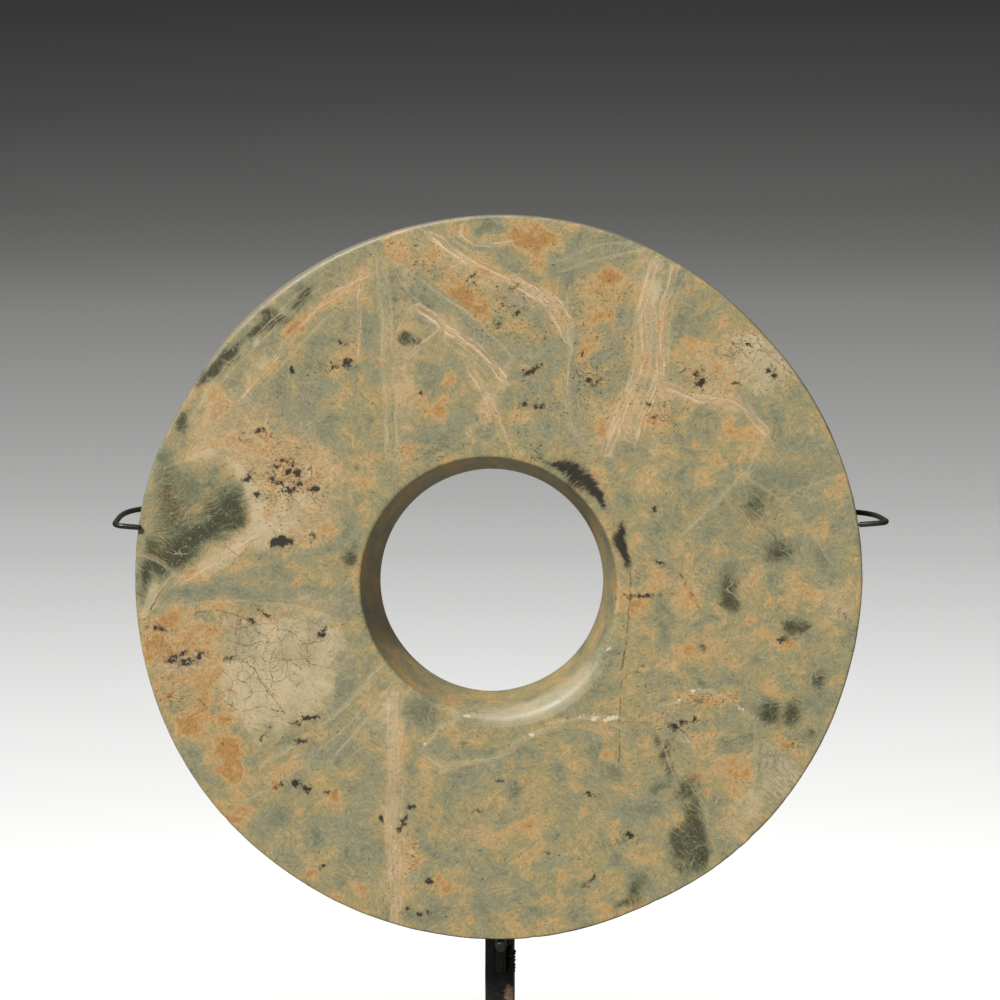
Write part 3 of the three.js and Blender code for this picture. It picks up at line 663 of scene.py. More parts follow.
class StoneFields:
    """How much of each mineral, blot and seam lies at points of the stone.

    The marks on the front face run through the stone at a slant, so the bore's wall, the rim and
    the back carry them on.
    """

    SLANT_X = -0.22
    SLANT_Z = 0.3
    BEND = 1.5
    BEND_CELL = 8.0
    FINE_BEND = 0.6
    FINE_BEND_CELL = 3.0
    NEAR = 6.0

    def __init__(self, points: np.ndarray, front_y: float) -> None:
        """Finds where each point falls on the plan of the front face.

        Args:
            points: N by 3 millimetres from the disc's centre.
            front_y: depth of the front face.
        """
        depth = points[:, 1] - front_y
        self.x = points[:, 0] + self.SLANT_X * depth
        self.z = points[:, 2] + self.SLANT_Z * depth
        bend, fine = SmoothNoise(3), SmoothNoise(5)
        sideways = points + 1000.0
        self.bent_x = self.x + self.BEND * bend.at(points, self.BEND_CELL)
        self.bent_x += self.FINE_BEND * fine.at(points, self.FINE_BEND_CELL)
        self.bent_z = self.z + self.BEND * bend.at(sideways, self.BEND_CELL)
        self.bent_z += self.FINE_BEND * fine.at(sideways, self.FINE_BEND_CELL)

    def near(self, mark: Mark, reach: float) -> np.ndarray:
        """Which points lie within a few sizes of a mark, so that only they are worked out."""
        x, z = FacePlan.place(mark.px, mark.py)
        size = max(mark.half_length, mark.half_width) * FacePlan.MM_PER_PIXEL * reach + self.BEND + 1
        return np.flatnonzero((np.abs(self.x - x) < size) & (np.abs(self.z - z) < size))

    @staticmethod
    def reach(mark: Mark, x: np.ndarray, z: np.ndarray) -> np.ndarray:
        """Distance from a mark's middle, 1 on the ellipse's edge."""
        middle_x, middle_z = FacePlan.place(mark.px, mark.py)
        turn = math.radians(mark.turn)
        right, up = x - middle_x, z - middle_z
        along = right * math.cos(turn) + up * math.sin(turn)
        across = up * math.cos(turn) - right * math.sin(turn)
        along /= mark.half_length * FacePlan.MM_PER_PIXEL
        across /= mark.half_width * FacePlan.MM_PER_PIXEL
        return np.hypot(along, across)

    def mineral(self, groups: Rows) -> np.ndarray:
        """Share of a mineral, 0 to 1, with overlapping marks adding up softly."""
        clear = np.ones(len(self.x))
        for rows in groups.values():
            for row in rows:
                mark = Mark(*row)
                near = self.near(mark, 2.6)
                reach = self.reach(mark, self.bent_x[near], self.bent_z[near])
                clear[near] *= 1 - 0.97 * mark.strength * np.exp(-0.7 * reach**2.2)
        return 1 - clear

    def blots(self, groups: Rows) -> np.ndarray:
        """Distance in millimetres to the edge of the nearest small blot, negative inside."""
        nearest = np.full(len(self.x), self.NEAR)
        for rows in groups.values():
            for row in rows:
                mark = Mark(*row[:4], 1.0, *row[4:])
                near = self.near(mark, 5.0)
                size = mark.half_width * FacePlan.MM_PER_PIXEL
                edge = (self.reach(mark, self.x[near], self.z[near]) - 1) * size
                nearest[near] = np.minimum(nearest[near], edge)
        return nearest

    def seams(self, lines: Iterable[Line]) -> np.ndarray:
        """For the nearest line: distance to its left, way along it, half its width and strength.

        Args:
            lines: seams or cracks that keep clear of each other.

        Returns:
            N by 4, the first three in millimetres. The width is 0 where no line is near.
        """
        found = np.zeros((len(self.x), 4))
        found[:, 0] = self.NEAR
        for line in lines:
            way = 0.0
            stops = [FacePlan.place(px, py) for px, py in line.points]
            for (x0, z0), (x1, z1) in zip(stops, stops[1:]):
                length = math.hypot(x1 - x0, z1 - z0)
                step_x, step_z = (x1 - x0) / length, (z1 - z0) / length
                size = length / 2 + self.NEAR
                near = np.abs(self.x - (x0 + x1) / 2) < size
                near = np.flatnonzero(near & (np.abs(self.z - (z0 + z1) / 2) < size))
                right, up = self.x[near] - x0, self.z[near] - z0
                along = np.clip(right * step_x + up * step_z, 0, length)
                gap = np.hypot(right - along * step_x, up - along * step_z)
                side = np.where(up * step_x - right * step_z < 0, -1, 1)
                nearer = gap < np.abs(found[near, 0])
                chosen = near[nearer]
                found[chosen, 0] = (gap * side)[nearer]
                found[chosen, 1] = (way + along)[nearer]
                found[chosen, 2:] = line.half_width, line.strength
                way += length
        return found


class NodeBench:
    """Adds nodes to one tree and joins them, with a short call for each."""

    def __init__(self, tree: bpy.types.NodeTree) -> None:
        """Takes the tree of a material or a group."""
        self.tree = tree

    def add(self, kind: str, **settings: object) -> bpy.types.Node:
        """Adds a node of a kind with its settings."""
        node = self.tree.nodes.new(kind)
        for name, value in settings.items():
            setattr(node, name, value)
        return node

    def feed(self, source: object, target: Socket) -> None:
        """Feeds an input from another node, or gives it a plain value."""
        if isinstance(source, bpy.types.NodeSocket):
            self.tree.links.new(source, target)
        else:
            target.default_value = source

    def calc(self, operation: str, first: object, second: object = 0.0) -> Socket:
        """One sum on two values."""
        node = self.add("ShaderNodeMath", operation=operation)
        self.feed(first, node.inputs[0])
        self.feed(second, node.inputs[1])
        return node.outputs[0]

    def times(self, first: object, second: object) -> Socket:
        """Two values multiplied."""
        return self.calc("MULTIPLY", first, second)

    def total(self, start: float, *terms: tuple[Socket, float]) -> Socket:
        """Adds values to a start, each times its amount."""
        result: object = start
        for value, amount in terms:
            node = self.add("ShaderNodeMath", operation="MULTIPLY_ADD")
            for part, target in zip((value, amount, result), node.inputs):
                self.feed(part, target)
            result = node.outputs[0]
        return result

    def ramp(self, value: Socket, stops: tuple[tuple[float, Colour], ...]) -> Socket:
        """A colour picked along a scale of stops."""
        node = self.add("ShaderNodeValToRGB")
        self.feed(value, node.inputs["Fac"])
        points = node.color_ramp.elements
        for i, (position, colour) in enumerate(stops):
            point = points[i] if i < 2 else points.new(position)
            point.position, point.color = position, colour
        return node.outputs["Color"]

    def step(self, value: object, low: float, high: float, top: float = 1.0) -> Socket:
        """Soft step from 0 to top as the value goes from low to high, either way round."""
        node = self.add("ShaderNodeMapRange", interpolation_type="SMOOTHSTEP")
        for name, amount in (("Value", value), ("From Min", low), ("From Max", high), ("To Max", top)):
            self.feed(amount, node.inputs[name])
        return node.outputs[0]

    def blend(self, share: object, below: object, above: object) -> Socket:
        """Lays one colour over another by a share."""
        node = self.add("ShaderNodeMix", data_type="RGBA", clamp_factor=True)
        self.feed(share, node.inputs[0])
        self.feed(below, node.inputs[6])
        self.feed(above, node.inputs[7])
        return node.outputs[2]

    def noise(
        self,
        place: Socket,
        cell: float,
        detail: float = 3.0,
        rough: float = 0.55,
        colour: bool = False,
    ) -> Socket:
        """Noise with bumps about a cell wide.

        Args:
            place: the coordinates.
            cell: width of the largest bumps, in the coordinates' unit.
            detail: number of finer layers.
            rough: strength of the finer layers.
            colour: whether three different noises come out instead of one.

        Returns:
            The noise, about 0.5 on average.
        """
        node = self.add("ShaderNodeTexNoise")
        self.feed(place, node.inputs["Vector"])
        settings = {"Scale": 1 / cell, "Detail": detail, "Roughness": rough}
        for name, amount in settings.items():
            node.inputs[name].default_value = amount
        return node.outputs["Color" if colour else "Fac"]

    def cells(self, place: Socket, cell: float, feature: str = "F1") -> bpy.types.Node:
        """Voronoi cells about a cell wide, on flat coordinates."""
        node = self.add("ShaderNodeTexVoronoi", feature=feature, voronoi_dimensions="2D")
        self.feed(place, node.inputs["Vector"])
        node.inputs["Scale"].default_value = 1 / cell
        return node

    def vector(self, operation: str, first: object, second: object) -> Socket:
        """One sum on two vectors."""
        node = self.add("ShaderNodeVectorMath", operation=operation)
        self.feed(first, node.inputs[0])
        self.feed(second, node.inputs[1])
        return node.outputs[0]

    def bent(self, place: Socket, amount: float, cell: float) -> Socket:
        """Coordinates pushed about by an amount, over bumps a cell wide."""
        push = self.vector("SUBTRACT", self.noise(place, cell, 2.0, colour=True), (0.5, 0.5, 0.5))
        return self.vector("ADD", place, self.vector("MULTIPLY", push, (2 * amount,) * 3))

    def grained(self, place: Socket, rising: float, along: float, across: float) -> Socket:
        """Coordinates drawn out into grain.

        Args:
            place: coordinates in millimetres.
            rising: degrees that the grain rises to the right on the front face.
            along: length of a grain.
            across: width of a grain.

        Returns:
            Coordinates in grains.
        """
        node = self.add("ShaderNodeMapping", vector_type="TEXTURE")
        self.feed(place, node.inputs["Vector"])
        node.inputs["Rotation"].default_value = (0, -math.radians(rising), 0)
        node.inputs["Scale"].default_value = (along, across, across)
        return node.outputs[0]

    def millimetres(self, centre: tuple[float, float, float]) -> Socket:
        """The piece's own coordinates in millimetres, counted from a centre."""
        place = self.add("ShaderNodeTexCoord").outputs["Object"]
        node = self.add("ShaderNodeMapping")
        self.feed(place, node.inputs["Vector"])
        node.inputs["Location"].default_value = tuple(-value for value in centre)
        node.inputs["Scale"].default_value = (1 / MM,) * 3
        return node.outputs[0]

    def amount(self, name: str) -> Socket:
        """One of the mesh's own fields, as a value."""
        return self.add("ShaderNodeAttribute", attribute_name=name).outputs["Fac"]

    def parts(self, vector: Socket) -> tuple[Socket, Socket, Socket]:
        """The three parts of a vector."""
        node = self.add("ShaderNodeSeparateXYZ")
        self.feed(vector, node.inputs[0])
        return tuple(node.outputs)

    def seam_parts(self, name: str) -> tuple[Socket, Socket, Socket]:
        """Distance to the nearest seam of a kind, the way along it and half its width."""
        return self.parts(self.add("ShaderNodeAttribute", attribute_name=name).outputs["Vector"])

    def length(self, vector: Socket) -> Socket:
        """The length of a vector."""
        node = self.add("ShaderNodeVectorMath", operation="LENGTH")
        self.feed(vector, node.inputs[0])
        return node.outputs["Value"]

    def bump(self, height: Socket, strength: float, millimetres: float) -> Socket:
        """The surface's direction, tilted by a height."""
        node = self.add("ShaderNodeBump")
        self.feed(height, node.inputs["Height"])
        node.inputs["Strength"].default_value = strength
        node.inputs["Distance"].default_value = millimetres * MM
        return node.outputs[0]


class NodeKit:
    """Node groups that materials share, each built once."""

    def __init__(self) -> None:
        """Builds every group."""
        self.patch = self.make("soft_patch", {"Field": 0.0, "Ragged": 0.5}, "Mask", self.fill_patch)
        hair_inputs = {"Place": None, "Cell": 8.0, "Width": 0.03}
        self.hairs = self.make("fine_hairs", hair_inputs, "Mask", self.fill_hairs)
        self.scuffs = self.make("scuffs", {"Place": None, "Cell": 5.0}, "Mask", self.fill_scuffs)

    def make(
        self,
        name: str,
        inputs: dict[str, float | None],
        output: str,
        fill: Callable[[NodeBench, dict[str, Socket]], Socket],
    ) -> bpy.types.NodeTree:
        """Makes one group.

        Args:
            name: the group's name.
            inputs: names with their plain values, None for coordinates.
            output: name of the one value that comes out.
            fill: adds the inner nodes and returns what comes out.

        Returns:
            The group's tree.
        """
        tree = bpy.data.node_groups.new(name, "ShaderNodeTree")
        for title, value in inputs.items():
            kind = "NodeSocketVector" if value is None else "NodeSocketFloat"
            socket = tree.interface.new_socket(name=title, in_out="INPUT", socket_type=kind)
            if value is not None:
                socket.default_value = value
        tree.interface.new_socket(name=output, in_out="OUTPUT", socket_type="NodeSocketFloat")
        bench = NodeBench(tree)
        given = bench.add("NodeGroupInput")
        result = fill(bench, {title: given.outputs[title] for title in inputs})
        bench.feed(result, bench.add("NodeGroupOutput").inputs[0])
        return tree

    @staticmethod
    def scaled(bench: NodeBench, given: dict[str, Socket]) -> Socket:
        """The group's coordinates counted in its own cells."""
        return bench.vector("DIVIDE", given["Place"], given["Cell"])

    def fill_patch(self, bench: NodeBench, given: dict[str, Socket]) -> Socket:
        """A mineral's mask: its field roughened by a noise and cut off with a feathered edge."""
        rough = bench.times(bench.calc("SUBTRACT", given["Ragged"], 0.5), 1.6)
        near = bench.step(given["Field"], 0.02, 0.2)
        lifted = bench.calc("ADD", given["Field"], bench.times(rough, near))
        return bench.step(lifted, 0.24, 0.66)

    def fill_hairs(self, bench: NodeBench, given: dict[str, Socket]) -> Socket:
        """Fine curved hairs where a noise crosses its middle."""
        place = self.scaled(bench, given)
        gap = bench.calc("ABSOLUTE", bench.calc("SUBTRACT", bench.noise(place, 1.0, 2.0, 0.45), 0.5))
        thin = bench.calc("DIVIDE", gap, given["Width"])
        broken = bench.step(bench.noise(place, 0.8, 1.0), 0.4, 0.6)
        return bench.times(bench.step(thin, 1.0, 0.1), broken)

    def fill_scuffs(self, bench: NodeBench, given: dict[str, Socket]) -> Socket:
        """Worn spots: coarse noise that breaks up into fine ones."""
        place = self.scaled(bench, given)
        coarse = bench.noise(place, 1.0, 5.0, 0.7)
        fine = bench.noise(place, 0.12, 3.0, 0.6)
        return bench.step(bench.calc("ADD", coarse, bench.times(fine, 0.35)), 0.72, 0.86)

    @staticmethod
    def use(bench: NodeBench, tree: bpy.types.NodeTree, **inputs: object) -> Socket:
        """Places a group in a material with its own values."""
        node = bench.add("ShaderNodeGroup", node_tree=tree)
        for name, value in inputs.items():
            bench.feed(value, node.inputs[name])
        return node.outputs[0]


def new_material(name: str) -> tuple[bpy.types.Material, NodeBench, bpy.types.Node]:
    """A material with only its output and one Principled shader.

    Args:
        name: the material's name.

    Returns:
        The material, its bench and its shader node.
    """
    material = bpy.data.materials.new(name)
    material.use_nodes = True
    material.node_tree.nodes.clear()
    bench = NodeBench(material.node_tree)
    shader = bench.add("ShaderNodeBsdfPrincipled")
    bench.feed(shader.outputs[0], bench.add("ShaderNodeOutputMaterial").inputs[0])
    return material, bench, shader


@dataclass(frozen=True)
class StoneFinish:
    """Satin polished stone, mottled green, grey, tan and orange."""

    warmth: tuple[tuple[float, Colour], ...] = (
        (0.0, tone(111, 112, 85)), (0.2, tone(135, 131, 101)), (0.38, tone(148, 141, 106)),
        (0.52, tone(157, 143, 100)), (0.66, tone(171, 149, 102)), (0.8, tone(185, 154, 105)),
        (0.9, tone(185, 145, 89)), (1.0, tone(171, 128, 72)),
    )
    grey: Colour = tone(141, 139, 112)
    cold_grey: Colour = tone(133, 134, 109)
    pale_peach: Colour = tone(204, 178, 140)
    bore_bloom: Colour = tone(180, 172, 146)
    cream: Colour = tone(192, 172, 134)
    pale_cream: Colour = tone(203, 188, 152)
    peach: Colour = tone(196, 164, 121)
    pink: Colour = tone(222, 198, 164)
    pale_line: Colour = tone(190, 180, 142)
    green: Colour = tone(112, 114, 82)
    dark_green: Colour = tone(42, 48, 27)
    hair: Colour = tone(184, 178, 138)
    lilac: Colour = tone(146, 133, 113)
    black: Colour = tone(34, 33, 28)
    smoke: Colour = tone(16, 18, 16)
    smoke_edge: Colour = tone(88, 90, 72)
    crack: Colour = tone(88, 66, 40)
    rusty_line: Colour = tone(158, 112, 62)
    chip: Colour = tone(218, 205, 174)
    # pale rim colour: a faint bloom all round, and a painted sheen on the upper rim
    rim_bloom_and_sheen: Colour = tone(136, 127, 113)
    roughness: float = 0.47
    pit_depth: float = 0.12
    cloud_cell: float = 13.0
    piece_cell: float = 6.5
    by_clouds: float = 2.1
    by_pieces: float = 0.18
    by_fibre: float = 0.45
    fine_light: float = 1.6
    streak_light: float = 0.6
    needle_length: float = 3.8
    needle_width: float = 0.42
    needle_turns: tuple[float, ...] = (58, -24, 104)
    crack_jog: float = 3.4
    blot_jog: float = 8.0
    chip_jog: float = 6.0

    def build(self, kit: NodeKit, centre: tuple[float, float, float]) -> bpy.types.Material:
        """Builds the stone.

        Args:
            kit: the shared node groups.
            centre: the disc's centre in millimetres.

        Returns:
            The material.
        """
        material, bench, shader = new_material("mottled_stone")
        place = bench.millimetres(centre)
        wavy = bench.bent(place, 6.0, 19.0)
        swirl = bench.bent(wavy, 1.3, 3.6)
        fibre = self.fibre(bench, wavy)
        shares = self.shares(bench, kit, swirl, fibre)
        clouds = bench.noise(swirl, self.cloud_cell, 6.0, 0.61)
        colour = self.ground(bench, swirl, fibre, clouds, shares)
        colour = self.minerals(bench, colour, fibre, clouds, shares)
        colour = self.grain(bench, kit, colour, swirl, fibre, shares)
        colour = self.seams(bench, colour, place)
        colour = self.smoky(bench, colour, fibre, shares)
        colour = self.dark_marks(bench, colour, place, swirl)
        colour = self.rim(bench, colour, clouds, fibre)
        bench.feed(colour, shader.inputs["Base Color"])
        bench.feed(bench.total(self.roughness - 0.15, (clouds, 0.3)), shader.inputs["Roughness"])
        blots = bench.step(bench.amount("blot"), 0.3, -0.3)
        height = bench.calc("SUBTRACT", bench.noise(place, 1.3, 3.0, 0.65), blots)
        bench.feed(bench.bump(height, 0.35, self.pit_depth), shader.inputs["Normal"])
        return material

    @staticmethod
    def fibre(bench: NodeBench, place: Socket) -> Socket:
        """Streaks that rise to the right in some parts of the stone and fall in others."""
        rising = bench.noise(bench.grained(place, 22, 7.0, 1.2), 1.0, 5.0, 0.7)
        falling = bench.noise(bench.grained(place, -45, 6.0, 1.1), 1.0, 5.0, 0.7)
        zone = bench.step(bench.noise(place, 36.0, 1.0), 0.46, 0.54)
        mixed = bench.add("ShaderNodeMix", data_type="FLOAT")
        for source, target in zip((zone, rising, falling), mixed.inputs[:1] + mixed.inputs[2:4]):
            bench.feed(source, target)
        return mixed.outputs[0]

    @staticmethod
    def shares(bench: NodeBench, kit: NodeKit, swirl: Socket, fibre: Socket) -> Shares:
        """How much of each coloured mineral shows, with ragged edges."""
        first = bench.noise(bench.vector("ADD", swirl, (31, 17, 0)), 7.0, 6.0, 0.72)
        second = bench.noise(bench.vector("ADD", swirl, (0, 57, 83)), 5.0, 6.0, 0.72)
        first_turned = bench.calc("SUBTRACT", 1.0, first)
        second_turned = bench.calc("SUBTRACT", 1.0, second)
        ragged = {
            Mineral.PEACH: second_turned, Mineral.GREY: first_turned, Mineral.CREAM: second,
            Mineral.ORANGE: first, Mineral.LILAC: second_turned,
        }
        found = {
            mineral: kit.use(bench, kit.patch, Field=bench.amount(mineral.value), Ragged=noise)
            for mineral, noise in ragged.items()
        }
        for mineral in (Mineral.GREEN, Mineral.SMOKE):
            depth = bench.amount(mineral.value)
            near = bench.step(depth, 0.02, 0.25)
            streaky = bench.total(-0.8, (fibre, 1.6))
            feathered = bench.total(0.0, (depth, 1.0), (bench.times(streaky, near), 1.0))
            found[mineral] = bench.step(feathered, 0.15, 0.85)
        return found

    def ground(
        self, bench: NodeBench, swirl: Socket, fibre: Socket, clouds: Socket, shares: Shares
    ) -> Socket:
        """Cold to warm stone in clouds, angular pieces and streaks, pushed by the marked minerals."""
        pieces = bench.parts(bench.cells(self.flattened(bench, swirl), self.piece_cell).outputs["Color"])[0]
        warm = bench.total(
            0.5 - (self.by_clouds + self.by_pieces + self.by_fibre) / 2,
            (clouds, self.by_clouds), (pieces, self.by_pieces), (fibre, self.by_fibre),
            (shares[Mineral.ORANGE], 0.32), (shares[Mineral.PEACH], 0.12),
            (shares[Mineral.GREY], -0.16), (shares[Mineral.GREEN], -0.15),
        )
        return bench.ramp(warm, self.warmth)

    def minerals(
        self, bench: NodeBench, colour: Socket, fibre: Socket, clouds: Socket, shares: Shares
    ) -> Socket:
        """Lays the minerals of a colour of their own over the ground, each in two tones."""
        mottled = bench.step(clouds, 0.4, 0.6)
        streaked = bench.step(fibre, 0.36, 0.6)
        green = bench.amount(Mineral.GREEN.value)
        green_core = bench.step(bench.total(0.0, (green, 1.1), (fibre, 1.2), (clouds, 1.2)), 1.45, 2.15)
        layers = (
            (Mineral.GREY, self.grey, self.cold_grey, streaked, 0.42),
            (Mineral.PEACH, self.peach, self.pale_peach, mottled, 0.34),
            (Mineral.CREAM, self.cream, self.pale_cream, mottled, 0.66),
            (Mineral.LILAC, self.lilac, self.cream, streaked, 0.6),
            (Mineral.GREEN, self.green, self.dark_green, green_core, 0.88),
        )
        for mineral, light, dark, share, cover in layers:
            layer = bench.blend(share, light, dark)
            colour = bench.blend(bench.times(shares[mineral], cover), colour, layer)
        return colour

    def grain(
        self,
        bench: NodeBench,
        kit: NodeKit,
        colour: Socket,
        swirl: Socket,
        fibre: Socket,
        shares: Shares,
    ) -> Socket:
        """Fine variation everywhere: streaks, small clouds, pale hairs and thin rusty lines."""
        small = bench.noise(swirl, 1.2, 4.0, 0.85)
        light = bench.total(
            1.0 - (self.fine_light + self.streak_light) / 2,
            (small, self.fine_light), (fibre, self.streak_light),
        )
        orange, green = shares[Mineral.ORANGE], shares[Mineral.GREEN]
        grey, cream = shares[Mineral.GREY], shares[Mineral.CREAM]
        colour = bench.blend(bench.times(cream, 0.5), bench.vector("MULTIPLY", colour, light), colour)
        highest = lowest = None
        for rising in self.needle_turns:
            grained = bench.grained(swirl, rising, self.needle_length, self.needle_width)
            needles = bench.noise(grained, 1.0, 2.0, 0.6)
            highest = needles if highest is None else bench.calc("MAXIMUM", highest, needles)
            lowest = needles if lowest is None else bench.calc("MINIMUM", lowest, needles)
        shade = bench.times(bench.step(lowest, 0.38, 0.27), bench.total(0.32, (green, 0.25)))
        colour = bench.blend(shade, colour, bench.vector("MULTIPLY", colour, (0.5, 0.5, 0.5)))
        pale = bench.times(bench.step(highest, 0.62, 0.73), bench.total(0.22, (green, 0.45)))
        colour = bench.blend(pale, colour, self.hair)
        for cell, width, shift, line, share in (
            (15.0, 0.009, 0.0, self.hair, bench.total(0.25, (green, 0.3), (grey, 0.1), (orange, -0.15))),
            (9.0, 0.01, 150.0, self.rusty_line, bench.total(0.1, (orange, 0.6), (cream, 0.2))),
        ):
            place = bench.vector("ADD", swirl, (shift, shift, 0))
            hairs = kit.use(bench, kit.hairs, Place=place, Cell=cell, Width=width)
            colour = bench.blend(bench.times(hairs, share), colour, line)
        return colour

    def smoky(self, bench: NodeBench, colour: Socket, fibre: Socket, shares: Shares) -> Socket:
        """Lays the smoky inclusions over everything, grey at their feathered edges."""
        smoke = bench.amount(Mineral.SMOKE.value)
        core = bench.step(bench.total(0.0, (smoke, 1.0), (fibre, 1.4)), 0.9, 1.5)
        layer = bench.blend(core, self.smoke_edge, self.smoke)
        return bench.blend(bench.times(shares[Mineral.SMOKE], 0.95), colour, layer)

    def seams(self, bench: NodeBench, colour: Socket, place: Socket) -> Socket:
        """The seams: soft bands of pale threads side by side, with thin rusty lines between."""
        coarse = bench.noise(place, 7.0, 5.0, 0.68)
        wobble = bench.total(-1.8, (coarse, 3.6))
        for seam, light, dark in (
            (Seam.PALE, self.pale_line, self.cream),
            (Seam.PINK, self.pink, self.peach),
        ):
            gap, way, width = bench.seam_parts(seam.value)
            strength = bench.amount(seam.value + "_strength")
            shifted = bench.calc("ADD", gap, wobble)
            share = bench.calc("DIVIDE", bench.calc("ABSOLUTE", shifted), bench.total(0.05, (width, 2.2)))
            strand = bench.add("ShaderNodeCombineXYZ")
            bench.feed(bench.times(shifted, 0.8), strand.inputs[0])
            bench.feed(bench.times(way, 0.05), strand.inputs[1])
            threads = bench.noise(strand.outputs[0], 1.0, 3.0, 0.65)
            inside = bench.times(bench.step(share, 1.2, 0.2), strength)
            colour = bench.blend(bench.times(inside, 0.5), colour, dark)
            rusty = bench.step(threads, 0.45, 0.38, 0.7)
            colour = bench.blend(bench.times(inside, rusty), colour, self.rusty_line)
            pale = bench.step(threads, 0.5, 0.57)
            colour = bench.blend(bench.times(inside, pale), colour, light)
        return colour

    def dark_marks(self, bench: NodeBench, colour: Socket, place: Socket, swirl: Socket) -> Socket:
        """Cracks, specks, black blots and white chips.

        Args:
            bench: the material's bench.
            colour: the colour so far.
            place: coordinates in millimetres.
            swirl: the same, pushed about.

        Returns:
            The new colour.
        """
        jog = bench.total(-0.5, (bench.noise(place, 2.6, 5.0, 0.76), 1.0))
        gap, _, width = bench.seam_parts(Seam.CRACK.value)
        gap = bench.calc("ABSOLUTE", bench.total(0.0, (gap, 1.0), (jog, self.crack_jog)))
        drawn = bench.step(bench.calc("DIVIDE", gap, bench.total(0.001, (width, 1.0))), 1.5, 0.6)
        gaps = bench.noise(swirl, 6.0, 3.0)
        drawn = bench.times(drawn, bench.step(gaps, 0.4, 0.5))
        flat = self.flattened(bench, bench.bent(place, 1.6, 3.6))
        cracked = bench.amount(Mineral.CRACKED.value)
        cracks = bench.calc("MAXIMUM", drawn, self.crack_net(bench, flat, cracked, gaps))
        colour = bench.blend(bench.times(cracks, 0.7), colour, self.crack)
        speckled = bench.amount(Mineral.SPECKLED.value)
        crumbs = bench.noise(bench.grained(swirl, 10, 1.5, 0.8), 1.0, 2.0, 0.7)
        reach = bench.total(0.0, (speckled, 0.11), (gaps, 0.12), (crumbs, -1.0))
        colour = bench.blend(bench.step(reach, -0.28, -0.245, 0.85), colour, self.crack)
        edge = bench.total(0.0, (bench.amount("blot"), 1.0), (jog, self.blot_jog))
        colour = bench.blend(bench.step(edge, 1.1, 0.0, 0.4), colour, self.crack)
        colour = bench.blend(bench.step(edge, 0.15, -0.25, 0.93), colour, self.black)
        white = bench.total(0.0, (bench.amount("chip"), 1.0), (jog, self.chip_jog))
        return bench.blend(bench.step(white, 0.1, -0.15, 0.9), colour, self.chip)

    @staticmethod
    def flattened(bench: NodeBench, place: Socket) -> Socket:
        """Coordinates across the front face that lean a little with the depth."""
        parts = bench.parts(place)
        flat = bench.add("ShaderNodeCombineXYZ")
        for target, source, slant in ((0, 0, StoneFields.SLANT_X), (1, 2, StoneFields.SLANT_Z)):
            bench.feed(bench.total(0.0, (parts[source], 1.0), (parts[1], slant)), flat.inputs[target])
        return flat.outputs[0]

    @staticmethod
    def crack_net(bench: NodeBench, flat: Socket, cracked: Socket, gaps: Socket) -> Socket:
        """A net of thin cracks, open only where the stone is marked as cracked."""
        total = None
        reach = bench.calc("ADD", cracked, gaps)
        for cell, width, low in ((8.0, 0.022, 0.95), (3.8, 0.03, 1.15)):
            edge = bench.cells(flat, cell, "DISTANCE_TO_EDGE").outputs["Distance"]
            line = bench.step(edge, width, width * 0.3)
            line = bench.times(line, bench.step(reach, low, low + 0.25))
            total = line if total is None else bench.calc("MAXIMUM", total, line)
        return total

    def rim(self, bench: NodeBench, colour: Socket, clouds: Socket, fibre: Socket) -> Socket:
        """Dull bloom on the rim with a painted sheen on its upper part, and a pale worn band low in the
        bore.
        """
        bloom_and_sheen = bench.amount("rim_bloom_and_sheen")
        # the pale rim colour is a faint bloom all round plus a painted sheen on the upper rim, where the
        # key light falls
        share = bench.times(bloom_and_sheen, bench.step(clouds, 0.3, 0.55, 0.9))
        colour = bench.blend(share, colour, self.rim_bloom_and_sheen)
        worn = bench.total(-0.9, (bench.amount("bore_bloom"), 1.0), (fibre, 1.0), (clouds, 0.8))
        return bench.blend(bench.step(worn, 0.2, 0.8, 0.55), colour, self.bore_bloom)


